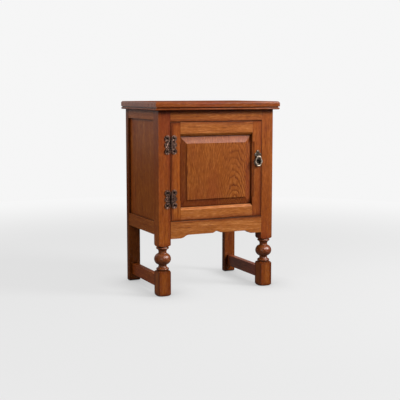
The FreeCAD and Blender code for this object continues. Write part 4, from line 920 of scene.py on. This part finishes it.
def add_floor():
    bm = bmesh.new()
    bmesh.ops.create_circle(bm, cap_ends=True, radius=FLOOR_RADIUS, segments=DISC_SIDES)
    mesh = bpy.data.meshes.new("floor")
    bm.to_mesh(mesh)
    bm.free()
    look, g = material("pale_floor")
    far = g.span(g.length(g.object_place()), FLOOR_PLAIN, FLOOR_RADIUS)
    # painted contact shadow: the floor's glow dims where the object is near
    shade = g.add("ShaderNodeAmbientOcclusion", {"Distance": CONTACT_SHADOW_REACH}, samples=16).outputs["AO"]
    painted_contact_shadow = g.span(shade, 0.0, 1.0, CONTACT_SHADOW_LEVEL, 1.0, smooth=False)
    level = g.times(g.times_add(far, FLOOR_FADE, FLOOR_NEAR), painted_contact_shadow)
    pale = g.times_add(far, -FLOOR_MATT, FLOOR_MATT)
    matt = g.add("ShaderNodeBsdfDiffuse", {"Color": g.join(pale, pale, pale)}).outputs[0]
    g.end(g.add("ShaderNodeAddShader", {0: g.glow(g.times(seen_share(g), level)), 1: matt}).outputs[0])
    add_stage("floor", mesh, look, reflected_only=False).location.z = -FLOOR_DROP


def add_walls():
    """Dark walls for reflections, a near ring with a gap for the key lamp and a far one, and a dark disc."""
    bm = bmesh.new()
    for wall in WALLS:
        ways = [turned(KEY.turn + step) for step in range(wall.gap, 361 - wall.gap, WALL_STEP)]
        rows = [[bm.verts.new((wall.radius * x, wall.radius * y, z)) for x, y in ways]
                for z in (wall.low, wall.high)]
        for i in range(len(ways) - 1):
            bm.faces.new((rows[0][i], rows[0][i + 1], rows[1][i + 1], rows[1][i]))
    bmesh.ops.create_circle(bm, cap_ends=True, radius=WALLS[0].radius, segments=DISC_SIDES,
                            matrix=Matrix.Translation((0, 0, DISC_RISE)))
    mesh = bpy.data.meshes.new("walls")
    bm.to_mesh(mesh)
    bm.free()
    look, g = material("dark_wall")
    x, y, z = g.split(g.object_place())
    facing = g.vector("NORMALIZE", g.join(x, y, 0.0))
    level = g.span(z, 0.001, 0.002, DISC_LEVEL, WALL_LEVEL)
    for card in CARDS:
        toward = g.dot(facing, (*turned(card.turn), 0.0))
        edge, core = [math.cos(math.radians(card.reach * share)) for share in (1.0, CARD_CORE)]
        over = g.span(z, card.low - CARD_FADE_LOW, card.low + CARD_FADE_LOW)
        under = g.span(z, card.high + CARD_FADE_HIGH, card.high - CARD_FADE_HIGH)
        lit = g.times(g.span(toward, edge, core), g.times(over, under))
        level = g.times_add(lit, card.strength, level)
    g.end(g.glow(level))
    add_stage("walls", mesh, look)


def add_flag():
    """A dark board before the table, over the level of its top, that keeps the bright card off the top."""
    front, edge = cad_box[0].y - FLAG_BEFORE, cad_box[1].z + FLAG_OVER
    corners = [(-FLAG_REACH, front, edge), (FLAG_REACH, front, edge),
               (FLAG_REACH, front, FLAG_TOP), (-FLAG_REACH, front, FLAG_TOP)]
    mesh = bpy.data.meshes.new("flag")
    mesh.from_pydata(corners, [], [(0, 1, 2, 3)])
    look, g = material("dark_flag")
    g.end(g.glow(FLAG_LEVEL))
    add_stage("flag", mesh, look)


def add_world():
    world = bpy.data.worlds.new("studio")
    bpy.context.scene.world = world
    world.use_nodes = True
    g = Graph(world.node_tree)
    level = g.times_add(seen_share(g), WORLD_SEEN - WORLD_LIGHT, WORLD_LIGHT)
    back = g.add("ShaderNodeBackground", {"Color": WHITE, "Strength": level})
    g.add("ShaderNodeOutputWorld", {"Surface": back.outputs[0]})


def aim(item, place, direction, axis):
    """Puts a lamp or camera at a place, with its own axis along a direction."""
    item.location = place
    item.rotation_mode = "QUATERNION"
    item.rotation_quaternion = direction.to_track_quat(axis, "Y")


def add_lamp(lamp):
    data = bpy.data.lights.new(lamp.name, "AREA")
    data.shape = "DISK"
    data.size = lamp.size
    data.energy = lamp.power
    made = add_object(lamp.name, data)
    rise = math.radians(lamp.rise)
    x, y = turned(lamp.turn)
    way = Vector((x * math.cos(rise), y * math.cos(rise), math.sin(rise)))
    aim(made, LAMP_AIM + way * lamp.distance, way, "Z")
    made.visible_glossy = lamp.glossy


def add_camera():
    data = bpy.data.cameras.new("camera")
    data.sensor_width = SENSOR_WIDTH
    data.lens = LENS
    camera = add_object("camera", data)
    aim(camera, CAMERA_PLACE, CAMERA_LOOK, "-Z")
    bpy.context.scene.camera = camera


add_floor()
add_walls()
add_flag()
add_world()
for lamp in (KEY, FILL):
    add_lamp(lamp)
add_camera()
bpy.context.scene.view_settings.view_transform = "Standard"
